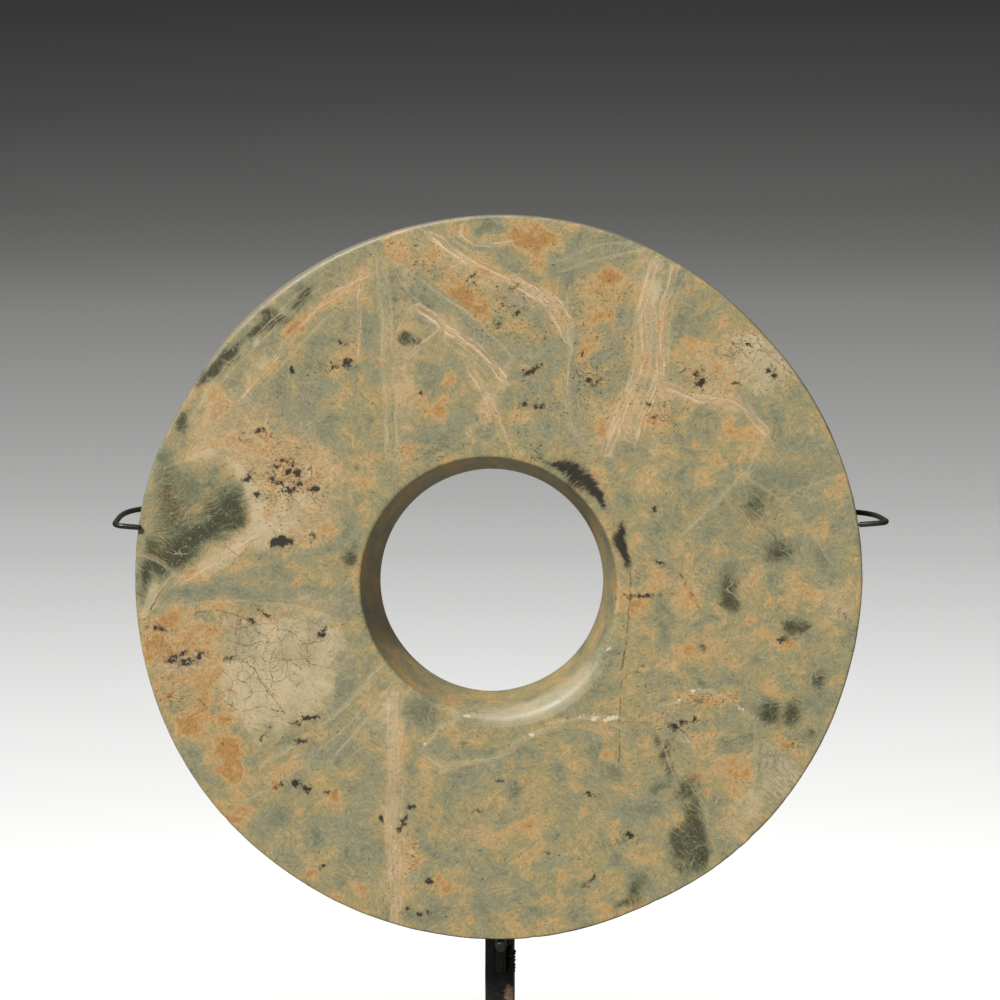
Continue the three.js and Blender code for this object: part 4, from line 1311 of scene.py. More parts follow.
@dataclass(frozen=True)
class PaintFinish:
    """Satin black paint on metal, scuffed, dusty and rusted through in places."""

    name: str
    paint: Colour = tone(23, 23, 20)
    thin_paint: Colour = tone(33, 32, 28)
    rust: Colour = tone(112, 86, 64)
    pale_rust: Colour = tone(150, 124, 98)
    dust: Colour = tone(92, 90, 80)
    rust_spots: tuple[tuple[float, float, float, float], ...] = ()
    roughness: float = 0.4
    pit_depth: float = 0.15
    dusty: float = 0.35

    def build(self, kit: NodeKit) -> bpy.types.Material:
        """Builds the paint.

        Args:
            kit: the shared node groups.

        Returns:
            The material.
        """
        material, bench, shader = new_material(self.name)
        place = bench.millimetres((0, 0, 0))
        clouds = bench.step(bench.noise(place, 6.0, 5.0, 0.65), 0.42, 0.66)
        colour = bench.blend(clouds, self.paint, self.thin_paint)
        worn = kit.use(bench, kit.scuffs, Place=place, Cell=9.0)
        colour = bench.blend(bench.times(worn, self.dusty), colour, self.dust)
        upward = bench.parts(bench.add("ShaderNodeNewGeometry").outputs["Normal"])[2]
        settled = bench.times(bench.step(upward, 0.5, 0.95), 0.3)
        settled = bench.times(settled, bench.step(bench.noise(place, 3.0, 5.0, 0.7), 0.4, 0.6))
        colour = bench.blend(settled, colour, self.dust)
        bare = self.bare(bench, kit, place)
        rusty = bench.step(bench.noise(place, 1.1, 5.0, 0.7), 0.42, 0.62)
        colour = bench.blend(bare, colour, bench.blend(rusty, self.rust, self.pale_rust))
        bench.feed(colour, shader.inputs["Base Color"])
        uneven = bench.times(bench.noise(place, 2.5, 4.0, 0.6), 0.22)
        rough = bench.calc("ADD", self.roughness - 0.1, uneven)
        rough = bench.calc("ADD", rough, bench.times(bare, 0.35))
        bench.feed(rough, shader.inputs["Roughness"])
        height = bench.calc("ADD", bench.noise(place, 0.8, 3.0, 0.6), bench.times(bare, -0.8))
        bench.feed(bench.bump(height, 0.5, self.pit_depth), shader.inputs["Normal"])
        return material

    def bare(self, bench: NodeBench, kit: NodeKit, place: Socket) -> Socket:
        """Where the paint has gone: a few small scuffs, and the marked rusty spots.

        Each spot is its x and z, and half its width and height, in millimetres.
        """
        total = bench.times(kit.use(bench, kit.scuffs, Place=place, Cell=4.0), 0.12)
        ragged = bench.calc("SUBTRACT", bench.noise(place, 2.2, 5.0, 0.7), 0.5)
        for x, z, half_width, half_height in self.rust_spots:
            offset = bench.vector("SUBTRACT", place, (x, 0, z))
            scaled = bench.vector("MULTIPLY", offset, (1 / half_width, 0, 1 / half_height))
            edge = bench.total(0.0, (bench.length(scaled), 1.0), (ragged, 2.4))
            total = bench.calc("MAXIMUM", total, bench.step(edge, 1.1, 0.9))
        return total


@dataclass(frozen=True)
class PaintedFalloffPaper:
    """Paper sheet with a painted light falloff: white round the object, greyer far behind it and darker
    going up.

    Each stop is a way along the sheet in metres, where height counts more, and a grey.
    """

    stops: tuple[tuple[float, float], ...] = (
        (0.45, 0.95), (0.69, 0.9), (0.9, 0.83), (1.16, 0.77), (1.48, 0.71), (1.89, 0.64), (2.43, 0.57),
        (3.16, 0.51), (4.2, 0.5), (5.6, 0.46), (6.7, 0.41), (7.3, 0.33), (7.8, 0.285),
        (8.9, 0.165), (10.0, 0.097),
    )
    height_counts: float = 6.0

    def build(self) -> bpy.types.Material:
        """Builds the paper."""
        material, bench, shader = new_material("paper_with_painted_falloff")
        place = bench.add("ShaderNodeTexCoord").outputs["Object"]
        away = bench.length(bench.vector("MULTIPLY", place, (1, 1, 0)))
        way = bench.total(0.0, (away, 1.0), (bench.parts(place)[2], self.height_counts))
        furthest = self.stops[-1][0]
        stops = tuple((distance / furthest, (grey, grey, grey, 1.0)) for distance, grey in self.stops)
        # painted light falloff: the paper's grey darkens with distance from the object and with height
        bench.feed(bench.ramp(bench.calc("DIVIDE", way, furthest), stops), shader.inputs["Base Color"])
        shader.inputs["Roughness"].default_value = 0.9
        shader.inputs["Specular IOR Level"].default_value = 0.0
        return material


def make_piece(name: str, bm: bmesh.types.BMesh, material: bpy.types.Material) -> bpy.types.Object:
    """Turns a finished bmesh in metres into an object with smooth faces.

    Args:
        name: the piece's name.
        bm: its mesh, freed here.
        material: its finish.

    Returns:
        The object, at the origin.
    """
    bmesh.ops.recalc_face_normals(bm, faces=bm.faces)
    mesh = bpy.data.meshes.new(name)
    bm.to_mesh(mesh)
    bm.free()
    mesh.materials.append(material)
    mesh.shade_smooth()
    piece = bpy.data.objects.new(name, mesh)
    bpy.context.scene.collection.objects.link(piece)
    return piece


def report(piece: bpy.types.Object) -> None:
    """Logs a finished piece's name and number of faces."""
    log.info("%s: %d faces", piece.name, len(piece.data.polygons))


class Swell(NamedTuple):
    """A soft swelling round the disc: degrees round it, degrees either side and height."""

    angle: float
    spread: float
    rise: float

    def at(self, degrees: np.ndarray) -> np.ndarray:
        """Height of the swelling at angles round the disc."""
        gap = (degrees - self.angle + 180) % 360 - 180
        return self.rise * np.exp(-((gap / self.spread) ** 2))


@dataclass
class StoneDisc:
    """The stone disc: a flat ring with a tapered bore set a little off its centre."""

    kit: NodeKit
    finish: StoneFinish
    radius: float = 160.5
    thickness: float = 32.0
    underside_height: float = 75.0
    rim_crown: float = 0.5
    rim_front_edge: float = 1.1
    rim_back_edge: float = 1.4
    rim_worn: Swell = Swell(128, 20, 2.2)
    bore_x: float = -3.4
    bore_z: float = -2.6
    bore_front_radius: float = 56.3
    bore_back_radius: float = 50.0
    bore_front_edge: float = 1.6
    bore_back_edge: float = 0.8
    bore_worn: Swell = Swell(-62, 34, 4.4)
    rim_form: tuple[Swell, ...] = (
        Swell(6, 16, 0.7),
        Swell(43, 11, -0.7),
        Swell(77, 14, 0.5),
        Swell(104, 9, -0.4),
        Swell(148, 10, -1.2),
        Swell(214, 17, 0.9),
        Swell(295, 12, -1.2),
    )
    turns: int = 640
    front_rings: int = 96
    back_rings: int = 14
    side_rings: int = 10
    edge_rings: int = 6
    fade: float = 6.0
    grinding: float = 0.14
    grinding_cell: float = 22.0
    fine_grinding: float = 0.1
    fine_cell: float = 6.0
    bore_unevenness: float = 0.15
    bore_cell: float = 16.0
    face_wave: float = 0.1
    face_cell: float = 38.0
    nick_depth: float = 0.9
    nick_cell: float = 3.4
    nick_from: float = 0.35
    bore_bloom: Swell = Swell(-64, 42, 0.95)
    bore_bloom_depth: float = 3.0
    bore_bloom_width: float = 9.0
    # painted sheen: the pale rim colour is strongest on the upper rim, where the key light falls
    upper_painted_sheen: Swell = Swell(105, 58, 0.85)
    rim_bloom_and_sheen: float = 0.15

    @property
    def half(self) -> float:
        """Half the thickness."""
        return self.thickness / 2

    @property
    def centre(self) -> tuple[float, float, float]:
        """The disc's centre, in millimetres from the stand's foot."""
        return 0.0, 0.0, self.underside_height + float(self.rim_radius(np.array([-90.0]))[0])

    def rim_radius(self, degrees: np.ndarray) -> np.ndarray:
        """Radius of the hand-ground rim at angles round the disc."""
        return self.radius + sum(swell.at(degrees) for swell in self.rim_form)

    def rounding(self, radius: float, y: float, edge: float, outward: int, inward: int) -> Outline:
        """A quarter round from the face to the side.

        Args:
            radius: where the side is.
            y: where the face is.
            edge: size of the round.
            outward: 1 at the rim and -1 at the bore.
            inward: 1 on the front face and -1 on the back.

        Returns:
            Points as radius and depth.
        """
        points = []
        for i in range(self.edge_rings + 1):
            turn = i / self.edge_rings * math.pi / 2
            side = edge * (1 - math.sin(turn))
            points.append((radius - outward * side, y + inward * edge * (1 - math.cos(turn))))
        return points

    def section(self) -> Outline:
        """The ring's closed section before its hand-made unevenness, as radius and depth."""
        side = self.radius - self.rim_crown
        front_rim = self.rounding(side, -self.half, self.rim_front_edge, 1, 1)
        back_rim = self.rounding(side, self.half, self.rim_back_edge, 1, -1)[::-1]
        back_bore = self.rounding(self.bore_back_radius, self.half, self.bore_back_edge, -1, -1)
        front_bore = self.rounding(self.bore_front_radius, -self.half, self.bore_front_edge, -1, 1)[::-1]
        crown = []
        for i in range(1, self.side_rings):
            y = front_rim[-1][1] + (back_rim[0][1] - front_rim[-1][1]) * i / self.side_rings
            crown.append((self.radius - self.rim_crown * (y / self.half) ** 2, y))
        points = front_rim + crown + back_rim
        points += self.between(back_rim[-1], back_bore[0], self.back_rings) + back_bore
        points += self.between(back_bore[-1], front_bore[0], self.side_rings) + front_bore
        return points + self.between(front_bore[-1], front_rim[0], self.front_rings)

    @staticmethod
    def between(start: tuple[float, float], end: tuple[float, float], parts: int) -> Outline:
        """The points that cut a straight run into equal parts, without its ends."""
        runs = [i / parts for i in range(1, parts)]
        return [(start[0] + (end[0] - start[0]) * t, start[1] + (end[1] - start[1]) * t) for t in runs]

    def shape(self, points: np.ndarray) -> tuple[np.ndarray, np.ndarray, np.ndarray]:
        """Gives the turned ring its offset bore, uneven rim, worn edges and gentle waves.

        Args:
            points: N by 3 millimetres on the plain turned ring.

        Returns:
            The moved points, how much bloom and painted sheen each has on the rim, and how much bloom each
            has in the bore.
        """
        radius = np.hypot(points[:, 0], points[:, 2])
        degrees = np.degrees(np.arctan2(points[:, 2], points[:, 0]))
        y = points[:, 1].copy()
        side = self.radius - self.rim_crown
        bore_face = self.bore_front_radius + self.bore_front_edge
        outer = np.clip((radius - bore_face) / (side - self.rim_front_edge - bore_face), 0, 1)
        in_front = y < 0
        inset, depth = np.clip(side - radius, 0, None), y + self.half
        inset_worn, depth_worn = self.wear(inset, depth, self.rim_front_edge, self.rim_worn.at(degrees))
        at_rim = in_front & (outer > 0.5)
        bore_in, bore_deep = np.clip(radius - self.bore_front_radius, 0, None), depth
        bore_wear = self.bore_worn.at(degrees)
        bore_in_worn, bore_deep_worn = self.wear(bore_in, bore_deep, self.bore_front_edge, bore_wear)
        at_bore = in_front & (outer <= 0.5)
        taper = (self.bore_front_radius - self.bore_back_radius) / self.thickness
        new_radius = radius + outer * (self.rim_radius(degrees) - self.radius)
        new_radius -= np.where(at_rim, inset_worn - inset, 0)
        new_radius += np.where(at_bore, bore_in_worn - bore_in, 0)
        new_radius -= np.where(at_bore & (bore_in == 0), taper * (bore_deep_worn - bore_deep), 0)
        y += np.where(at_rim, depth_worn - depth, 0) + np.where(at_bore, bore_deep_worn - bore_deep, 0)
        on_face = np.abs(y) >= self.half - 0.01
        near_rim = np.exp(-inset / 2.0) * (outer > 0.5)
        near_bore = np.exp(-np.clip(radius - self.bore_back_radius, 0, None) / 4.0) * (outer <= 0.5)
        wide, small = SmoothNoise(11), SmoothNoise(12)
        uneven = self.grinding * wide.at(points, self.grinding_cell)
        uneven += self.fine_grinding * small.at(points, self.fine_cell)
        new_radius += near_rim * uneven
        new_radius += near_bore * self.bore_unevenness * wide.at(points, self.bore_cell)
        nick = np.clip(small.at(points + 300.0, self.nick_cell) - self.nick_from, 0, None)
        on_rim = np.exp(-((inset + depth) / 1.6) ** 2)
        on_bore = np.exp(-((bore_in + depth) / 2.0) ** 2)
        waves = self.face_wave * wide.at(points, self.face_cell)
        y += nick * (on_rim + on_bore) * self.nick_depth
        y += np.where(on_face, waves, 0)
        new_radius -= nick * on_rim * 0.5
        angle = np.radians(degrees)
        moved = np.empty_like(points)
        moved[:, 0] = new_radius * np.cos(angle) + (1 - outer) * self.bore_x
        moved[:, 1] = y
        moved[:, 2] = new_radius * np.sin(angle) + (1 - outer) * self.bore_z
        from_band = y + self.half - self.bore_bloom_depth
        in_bore = self.bore_bloom.at(degrees) * np.exp(-((from_band / self.bore_bloom_width) ** 2))
        in_bore = in_bore * (outer < 0.04)
        return moved, self.bloom_and_sheen(inset_worn, y, outer, degrees), in_bore

    def wear(
        self, inset: np.ndarray, depth: np.ndarray, edge: float, worn: np.ndarray
    ) -> tuple[np.ndarray, np.ndarray]:
        """Enlarges a quarter round about its sharp corner and eases its neighbours along.

        Args:
            inset: distance from the side.
            depth: distance from the front face.
            edge: size of the round.
            worn: how much larger it becomes.

        Returns:
            The new inset and depth.
        """
        grow = 1 + worn / edge
        inset_fade = worn * np.exp(-np.clip(inset - edge, 0, None) / self.fade)
        depth_fade = worn * np.exp(-np.clip(depth - edge, 0, None) / self.fade)
        new_inset = np.where(inset > edge, inset + inset_fade, inset * grow)
        new_depth = np.where(depth > edge, depth + depth_fade, depth * grow)
        return new_inset, new_depth

    def bloom_and_sheen(self, inset: np.ndarray, y: np.ndarray, outer: np.ndarray, degrees: np.ndarray) -> np.ndarray:
        """Pale rim colour: a faint bloom all round, and a strong painted sheen on the upper rim where the
        key light falls.
        """
        on_edge = np.clip((y + self.half) / 0.5, 0, 1) * (inset < 5) * (outer > 0.5)
        return on_edge * np.clip(self.rim_bloom_and_sheen + self.upper_painted_sheen.at(degrees), 0, 1)

    def build(self) -> bpy.types.Object:
        """Builds and dresses the disc."""
        bm = bmesh.new()
        verts = [bm.verts.new((radius, y, 0)) for radius, y in self.section()]
        edges = [bm.edges.new(pair) for pair in zip(verts, verts[1:] + verts[:1])]
        bmesh.ops.spin(
            bm, geom=verts + edges, cent=(0, 0, 0), axis=(0, 1, 0), angle=FULL_TURN,
            steps=self.turns, use_merge=True,
        )
        piece = make_piece("stone_disc", bm, self.finish.build(self.kit, self.centre))
        self.settle(piece.data)
        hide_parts("bi_disc")
        return piece

    def settle(self, mesh: bpy.types.Mesh) -> None:
        """Moves the turned ring's points to their places and gives each its fields."""
        points = np.empty(len(mesh.vertices) * 3)
        mesh.vertices.foreach_get("co", points)
        points, rim_bloom_and_sheen, bore_bloom = self.shape(points.reshape(-1, 3))
        mesh.vertices.foreach_set("co", ((points + np.array(self.centre)) * MM).ravel())
        fields = StoneFields(points, -self.half)
        values = {mineral.value: fields.mineral(MARKS[mineral]) for mineral in Mineral}
        values["blot"] = fields.blots(BLACK_BLOTS)
        values["chip"] = fields.blots(WHITE_CHIPS)
        values["rim_bloom_and_sheen"] = rim_bloom_and_sheen
        values["bore_bloom"] = bore_bloom
        for name, value in values.items():
            mesh.attributes.new(name, "FLOAT", "POINT").data.foreach_set("value", value)
        for seam in Seam:
            found = fields.seams(LINES[seam].values())
            vector = mesh.attributes.new(seam.value, "FLOAT_VECTOR", "POINT")
            vector.data.foreach_set("vector", found[:, :3].ravel())
            strength = mesh.attributes.new(seam.value + "_strength", "FLOAT", "POINT")
            strength.data.foreach_set("value", found[:, 3].copy())
        mesh.update()


def bent_path(corners: list[Vector], bends: list[float], parts: int = 10) -> list[Vector]:
    """Points along straight runs with a round bend at each inner corner.

    Args:
        corners: the ends and corners.
        bends: how far before and after each inner corner its bend reaches.
        parts: number of runs in a bend.

    Returns:
        The points.
    """
    points = [corners[0]]
    for before, corner, after, reach in zip(corners, corners[1:], corners[2:], bends):
        start = corner + (before - corner).normalized() * reach
        end = corner + (after - corner).normalized() * reach
        for i in range(parts + 1):
            t = i / parts
            points.append((1 - t) ** 2 * start + 2 * t * (1 - t) * corner + t**2 * end)
    return points + [corners[-1]]


def sweep(path: list[Vector], radii: list[float], sides: int) -> bmesh.types.BMesh:
    """A closed round bar along a path, made by extruding a circle from point to point.

    Args:
        path: the points, in millimetres.
        radii: the bar's radius at each.
        sides: facets round the bar.

    Returns:
        Its bmesh, in metres.
    """
    bm = bmesh.new()
    turned = Vector((0, 0, 1)).rotation_difference(path[1] - path[0])
    ring_edges, last = [], None
    for i, (point, radius) in enumerate(zip(path, radii)):
        ahead = path[min(i + 1, len(path) - 1)] - path[max(i - 1, 0)]
        turned = (turned @ Vector((0, 0, 1))).rotation_difference(ahead) @ turned
        size = Matrix.Diagonal((radius, radius, radius, 1))
        here = Matrix.Scale(MM, 4) @ Matrix.Translation(point) @ turned.to_matrix().to_4x4() @ size
        if last is None:
            bmesh.ops.create_circle(bm, segments=sides, radius=1.0, matrix=here)
            ring_edges = list(bm.edges)
        else:
            made = bmesh.ops.extrude_edge_only(bm, edges=ring_edges)["geom"]
            ring_edges = [part for part in made if isinstance(part, bmesh.types.BMEdge)]
            verts = [part for part in made if isinstance(part, bmesh.types.BMVert)]
            bmesh.ops.transform(bm, matrix=here @ last.inverted(), verts=verts)
        last = here
    bmesh.ops.holes_fill(bm, edges=bm.edges, sides=0)
    return bm


def round_tips(
    path: list[Vector], radius: float, rounding: float, parts: int = 4
) -> tuple[list[Vector], list[float]]:
    """Adds rounded ends to a bar's path.

    Args:
        path: the bar's points.
        radius: the bar's radius.
        rounding: how far each end's edge is rounded.
        parts: facets of the rounding.

    Returns:
        The new points and the radius at each.
    """
    start = (path[1] - path[0]).normalized()
    end = (path[-2] - path[-1]).normalized()
    steps = [math.pi / 2 * i / parts for i in range(parts + 1)]
    inner = radius - rounding
    nose = [(rounding * (1 - math.cos(a)), max(inner + rounding * math.sin(a), 0.04)) for a in steps]
    points = [path[0] + start * away for away, _ in nose] + path[1:-1]
    points += [path[-1] + end * away for away, _ in reversed(nose)]
    radii = [size for _, size in nose] + [radius] * len(path[1:-1]) + [size for _, size in reversed(nose)]
    return points, radii


def roughen(bm: bmesh.types.BMesh, amount: float, cell: float, seed: int) -> None:
    """Moves points about by smooth noise, in millimetres, as hammering or weld spatter does."""
    bm.verts.ensure_lookup_table()
    points = np.array([vert.co for vert in bm.verts]) / MM
    for axis in range(3):
        shift = amount * MM * SmoothNoise(seed + axis).at(points + 200.0, cell)
        for vert, value in zip(bm.verts, shift):
            vert.co[axis] += value


@dataclass
class StandSizes:
    """Sizes that the stand's pieces share."""

    base_thickness: float = 10.0
    post_width: float = 13.0
    post_front_y: float = 17.0
    post_top_z: float = 161.0
    touch_gap: float = 0.3


@dataclass
class Post:
    """The square bar behind the disc."""

    sizes: StandSizes
    material: bpy.types.Material
    corner_radius: float = 0.8
    cuts: int = 90
    cross_cuts: int = 6
    dent: float = 0.09
    dent_cell: float = 7.0

    def build(self) -> bpy.types.Object:
        """Builds and dresses the post."""
        sizes = self.sizes
        height = sizes.post_top_z - sizes.base_thickness
        middle = Vector((0, sizes.post_front_y + sizes.post_width / 2, sizes.base_thickness + height / 2))
        size = Matrix.Diagonal((sizes.post_width, sizes.post_width, height, 1))
        bm = bmesh.new()
        bmesh.ops.create_cube(bm, size=1.0, matrix=Matrix.Scale(MM, 4) @ Matrix.Translation(middle) @ size)
        bmesh.ops.bevel(
            bm, geom=bm.edges, offset=self.corner_radius * MM, offset_type="OFFSET", segments=4,
            profile=0.5, affect="EDGES", material=-1,
        )
        long_edges = [edge for edge in bm.edges if edge.calc_length() > height * MM / 2]
        bmesh.ops.subdivide_edges(bm, edges=long_edges, cuts=self.cuts, use_grid_fill=True)
        wide = [edge for edge in bm.edges if edge.calc_length() > sizes.post_width * MM / 2]
        bmesh.ops.subdivide_edges(bm, edges=wide, cuts=self.cross_cuts, use_grid_fill=True)
        roughen(bm, self.dent, self.dent_cell, seed=21)
        piece = make_piece("square_post", bm, self.material)
        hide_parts("post")
        return piece


@dataclass
class RestRod:
    """The round rod on the post's front that turns forward under the disc."""

    sizes: StandSizes
    disc: StoneDisc
    material: bpy.types.Material
    diameter: float = 4.8
    bend: float = 6.0
    drop: float = 18.0
    offset_x: float = 0.8
    tip_offset_x: float = 2.1
    tip_overhang: float = 1.0
    cut_edge: float = 0.7
    dent: float = 0.05
    dent_cell: float = 3.0
    sides: int = 32

    def build(self) -> bpy.types.Object:
        """Builds and dresses the rod."""
        radius = self.diameter / 2
        y = self.sizes.post_front_y - self.sizes.touch_gap - radius
        z = self.disc.underside_height - self.sizes.touch_gap - radius
        corners = [
            Vector((self.offset_x, y, z - self.drop)),
            Vector((self.offset_x, y, z)),
            Vector((self.tip_offset_x, -self.disc.half - self.tip_overhang, z)),
        ]
        path, radii = round_tips(bent_path(corners, [self.bend]), radius, self.cut_edge)
        bm = sweep(path, radii, self.sides)
        roughen(bm, self.dent, self.dent_cell, seed=31)
        piece = make_piece("bent_rest_rod", bm, self.material)
        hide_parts("rest_rod")
        return piece


class Side(Enum):
    """The two sides, as the disc is seen from the front."""

    LEFT = -1
    RIGHT = 1


@dataclass
class WireArm:
    """A wire from the post's side, up behind the disc and round its rim as a hook."""

    sizes: StandSizes
    disc: StoneDisc
    material: bpy.types.Material
    side: Side
    back_rise: float
    front_rise: float
    back_reach: float
    front_reach: float
    lap: float
    diameter: float = 2.4
    behind_gap: float = 0.6
    weld_length: float = 30.0
    start_below_top: float = 6.0
    shoulder_inset: float = 20.0
    bends: tuple[float, ...] = (14.0, 10.0, 20.0, 5.0)
    tip_drop: float = 1.0
    dent: float = 0.04
    dent_cell: float = 4.0
    sides: int = 20

    def rim_at(self, rise: float) -> float:
        """Distance of the rim from the upright centre line, at a height above the centre."""
        degrees = math.degrees(math.asin(rise / self.disc.radius))
        if self.side is Side.LEFT:
            degrees = 180 - degrees
        return math.sqrt(float(self.disc.rim_radius(np.array([degrees]))[0]) ** 2 - rise**2)

    def path(self) -> list[Vector]:
        """The wire's middle line."""
        sizes, way = self.sizes, self.side.value
        radius = self.diameter / 2
        behind = self.disc.half + self.behind_gap + radius
        front = -self.disc.half - sizes.touch_gap - radius
        foot_x = sizes.post_width / 2 + sizes.touch_gap + radius
        leave_z = sizes.post_top_z - self.start_below_top
        centre_z = self.disc.centre[2]
        back_rim, front_rim = self.rim_at(self.back_rise), self.rim_at(self.front_rise)
        corners = [
            Vector((way * foot_x, sizes.post_front_y + radius, leave_z - self.weld_length)),
            Vector((way * foot_x, sizes.post_front_y + radius, leave_z)),
            Vector((way * (back_rim - self.shoulder_inset), behind, centre_z + self.back_rise)),
            Vector((way * (back_rim + self.back_reach), behind, centre_z + self.back_rise)),
            Vector((way * (front_rim + self.front_reach), front, centre_z + self.front_rise)),
            Vector((way * (front_rim - self.lap), front, centre_z + self.front_rise - self.tip_drop)),
        ]
        return bent_path(corners, list(self.bends))

    def build(self) -> bpy.types.Object:
        """Builds and dresses the wire."""
        radius = self.diameter / 2
        path, radii = round_tips(self.path(), radius, radius * 0.9)
        bm = sweep(path, radii, self.sides)
        roughen(bm, self.dent, self.dent_cell, seed=41)
        name = self.side.name.lower()
        piece = make_piece(f"{name}_wire_arm", bm, self.material)
        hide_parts(f"{name}_arm")
        return piece


@dataclass
class WeldBead:
    """A lumpy weld along a short line."""

    name: str
    material: bpy.types.Material
    path: tuple[tuple[float, float, float], ...]
    radius: float
    ripple: float = 1.5
    lumps: float = 0.3
    spatter: float = 0.3
    seed: int = 51
    sides: int = 16
    run: float = 0.35
    ripple_share: float = 0.4
    tip_rings: int = 4

    def build(self) -> bpy.types.Object:
        """Builds and dresses the weld."""
        stops = [Vector(point) for point in self.path]
        points, radii = [], []
        along = 0.0
        for start, end in zip(stops, stops[1:]):
            length = (end - start).length
            count = max(int(length / self.run), 2)
            for i in range(count):
                points.append(start.lerp(end, i / count))
                ripple = math.sin((along + length * i / count) * FULL_TURN / self.ripple)
                radii.append(self.radius * (1 + self.lumps * self.ripple_share * ripple))
            along += length
        points.append(stops[-1])
        radii.append(self.radius)
        closed = (stops[0] - stops[-1]).length < self.radius
        for i in range(0 if closed else self.tip_rings):
            shrink = math.sin((i + 0.4) / self.tip_rings * math.pi / 2)
            radii[i] *= shrink
            radii[-1 - i] *= shrink
        bm = sweep(points, radii, self.sides)
        roughen(bm, self.spatter, 1.5, self.seed)
        return make_piece(self.name, bm, self.material)


@dataclass
class Stand:
    """The black metal stand: base plate, post, rod, wires and the welds that join them."""

    kit: NodeKit
    disc: StoneDisc
    sizes: StandSizes

    def build(self) -> list[bpy.types.Object]:
        """Builds every piece of the stand."""
        rust = ((4.7, 44.0, 2.3, 4.6), (3.4, 33.0, 1.4, 4.0), (-3.0, 22.0, 1.2, 2.5))
        post_paint = PaintFinish("black_paint_on_the_post", rust_spots=rust).build(self.kit)
        rod_paint = PaintFinish("black_paint_on_the_rod", roughness=0.36).build(self.kit)
        wire_paint = PaintFinish("black_paint_on_the_wires", roughness=0.34, dusty=0.2).build(self.kit)
        weld_paint = PaintFinish("black_paint_on_the_welds", roughness=0.3).build(self.kit)
        plate_paint = PaintFinish("black_paint_on_the_base", roughness=0.42, dusty=0.25).build(self.kit)
        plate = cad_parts["base_plate"]
        plate.data.materials.clear()
        plate.data.materials.append(plate_paint)
        pieces = [
            Post(self.sizes, post_paint).build(),
            RestRod(self.sizes, self.disc, rod_paint).build(),
            WireArm(
                self.sizes, self.disc, wire_paint, Side.LEFT,
                back_rise=29.4, front_rise=23.8, back_reach=10.6, front_reach=10.3, lap=2.2,
            ).build(),
            WireArm(
                self.sizes, self.disc, wire_paint, Side.RIGHT,
                back_rise=28.6, front_rise=26.1, back_reach=7.4, front_reach=12.6, lap=0.5,
            ).build(),
        ]
        return pieces + [bead.build() for bead in self.welds(weld_paint)]

    def welds(self, paint: bpy.types.Material) -> list[WeldBead]:
        """The welds: both sides of the rod, both wires and round the post's foot."""
        front = self.sizes.post_front_y
        half = self.sizes.post_width / 2
        top = self.sizes.base_thickness
        wire_y = front + 2.6
        beads = [
            WeldBead(
                "rod_weld_right", paint,
                ((4.6, front - 0.3, 53.5), (5.3, front - 0.2, 60), (5.0, front - 0.4, 66.5)),
                1.9, lumps=0.5, spatter=0.6, seed=61,
            ),
            WeldBead(
                "rod_weld_left", paint, ((-2.0, front - 0.3, 53), (-1.9, front - 0.3, 65)), 0.9,
                spatter=0.2, seed=64,
            ),
        ]
        for side in Side:
            x = side.value * (half + 0.5)
            beads.append(
                WeldBead(
                    f"{side.name.lower()}_wire_weld", paint, ((x, wire_y, 127), (x, wire_y, 146)), 1.3,
                    seed=70 + side.value,
                )
            )
        middle = front + half
        out = half + 0.4
        foot = [(out, middle - out, top), (out, middle + out, top), (-out, middle + out, top)]
        foot += [(-out, middle - out, top), (out, middle - out, top)]
        beads.append(WeldBead("post_foot_weld", paint, tuple(foot), 1.9, seed=75))
        return beads


class Sun(NamedTuple):
    """A broad, far light: power, how wide it looks in degrees, and the way from the object to it."""

    strength: float
    softness: float
    towards: tuple[float, float, float]


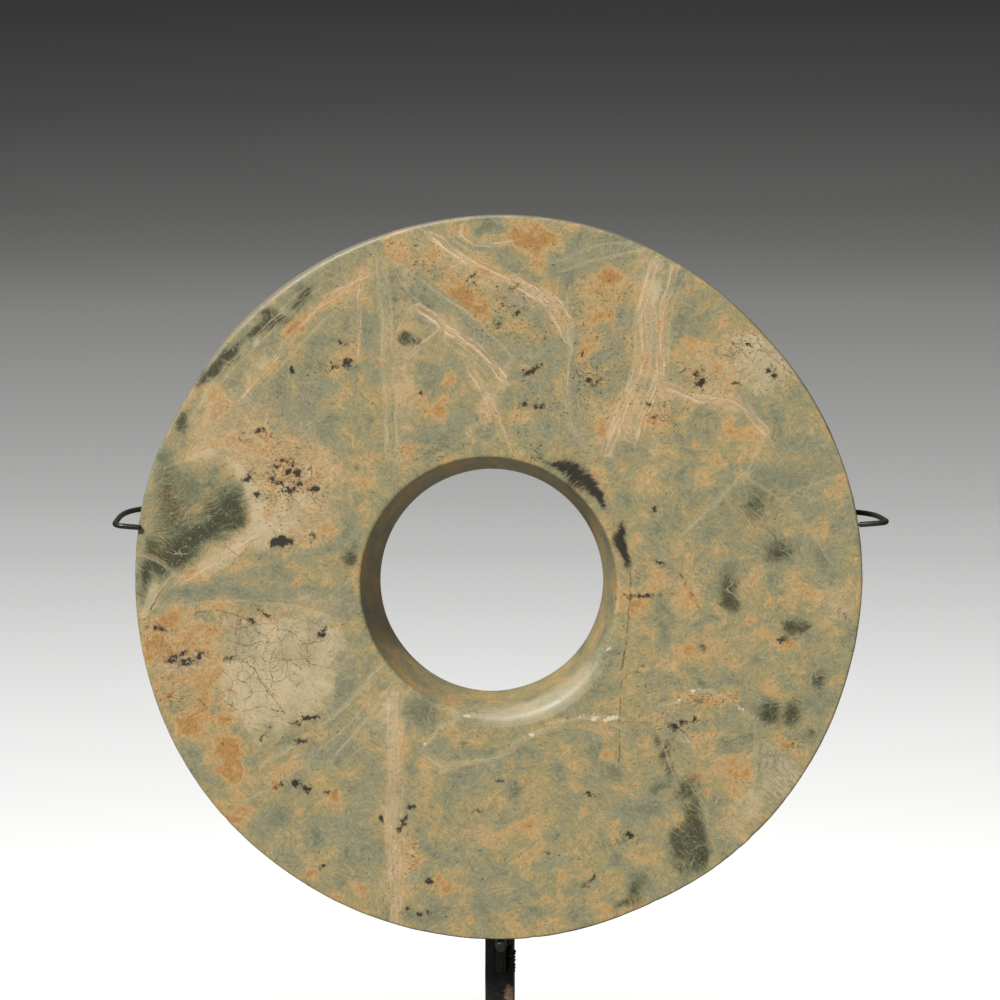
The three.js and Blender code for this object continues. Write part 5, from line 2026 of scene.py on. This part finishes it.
@dataclass
class Studio:
    """The plain set: one sheet as floor and background with a soft light of its own, the lights
    that reach only the object, a faint fill and the camera.
    """

    key: Sun = Sun(3.76, 12.0, (-0.372, -0.669, 0.644))
    back_light: Sun = Sun(2.4, 3.0, (0.0, 1.0, 0.0))
    bounce: Sun = Sun(0.4, 60.0, (0.0, -0.6, -0.8))
    sheet_light: Sun = Sun(3.03, 100.0, (0.0, 0.0, 1.0))
    fill: tuple[float, float, float, float] = (0.173, 0.17, 0.162, 1.0)
    half_width: float = 9.0
    front_edge: float = -9.0
    bend_start: float = 4.2
    bend_radius: float = 0.5
    top: float = 3.2
    camera_place: tuple[float, float, float] = (66.9, -1509.3, 366.2)
    camera_look: tuple[float, float, float] = (-0.04353, 0.99702, -0.06366)
    lens: float = 122.7

    def sheet(self, finish: PaintedFalloffPaper) -> bpy.types.Object:
        """The floor, which bends up into the background far behind the object."""
        bm = bmesh.new()
        points = [(self.front_edge, 0.0), (self.bend_start, 0.0)]
        for i in range(1, 13):
            turn = i / 12 * math.pi / 2
            y = self.bend_start + self.bend_radius * math.sin(turn)
            points.append((y, self.bend_radius * (1 - math.cos(turn))))
        points.append((points[-1][0], self.top))
        verts = [bm.verts.new((-self.half_width, y, z)) for y, z in points]
        edges = [bm.edges.new(pair) for pair in zip(verts, verts[1:])]
        made = bmesh.ops.extrude_edge_only(bm, edges=edges)["geom"]
        moved = [part for part in made if isinstance(part, bmesh.types.BMVert)]
        bmesh.ops.translate(bm, vec=(2 * self.half_width, 0, 0), verts=moved)
        return make_piece("paper_sheet", bm, finish.build())

    @staticmethod
    def group(name: str, members: list[bpy.types.Object]) -> bpy.types.Collection:
        """Gathers the objects that a light reaches, or that cast its shadows."""
        gathered = bpy.data.collections.new(name)
        for piece in members:
            gathered.objects.link(piece)
        return gathered

    @staticmethod
    def hang(name: str, sun: Sun, lit: bpy.types.Collection) -> bpy.types.Object:
        """Adds a light that reaches only some objects."""
        light = bpy.data.lights.new(name, "SUN")
        light.energy = sun.strength
        light.angle = math.radians(sun.softness)
        source = bpy.data.objects.new(name, light)
        source.rotation_euler = Vector(sun.towards).to_track_quat("Z", "Y").to_euler()
        bpy.context.scene.collection.objects.link(source)
        source.light_linking.receiver_collection = lit
        return source

    def build(self, pieces: list[bpy.types.Object]) -> None:
        """Builds the set round the object's pieces."""
        sheet = self.sheet(PaintedFalloffPaper())
        sheet.visible_diffuse = False
        sheet.visible_glossy = False
        stand_and_stone = self.group("stand_and_stone", pieces)
        paper = self.group("paper", [sheet])
        for name, sun in (("key", self.key), ("back_light", self.back_light), ("bounce", self.bounce)):
            light = self.hang(name, sun, stand_and_stone)
            light.light_linking.blocker_collection = stand_and_stone
        self.hang("sheet_light", self.sheet_light, paper)
        scene = bpy.context.scene
        world = bpy.data.worlds.new("room")
        world.use_nodes = True
        world.node_tree.nodes["Background"].inputs["Color"].default_value = self.fill
        scene.world = world
        lens = bpy.data.cameras.new("camera")
        lens.lens = self.lens
        lens.clip_end = 100.0
        camera = bpy.data.objects.new("camera", lens)
        camera.location = Vector(self.camera_place) * MM
        camera.rotation_euler = Vector(self.camera_look).to_track_quat("-Z", "Y").to_euler()
        scene.collection.objects.link(camera)
        scene.camera = camera
        scene.view_settings.view_transform = "Standard"


def main() -> None:
    """Builds the object's pieces and the set, in order, and writes how large the result is."""
    logging.basicConfig(level=logging.INFO)
    kit = NodeKit()
    disc = StoneDisc(kit, StoneFinish())
    stone = disc.build()
    metal = Stand(kit, disc, StandSizes()).build()
    for piece in [stone, *metal]:
        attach(piece, "root")
        report(piece)
    Studio().build([stone, *metal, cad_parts["base_plate"]])


if __name__ == "__main__":
    main()
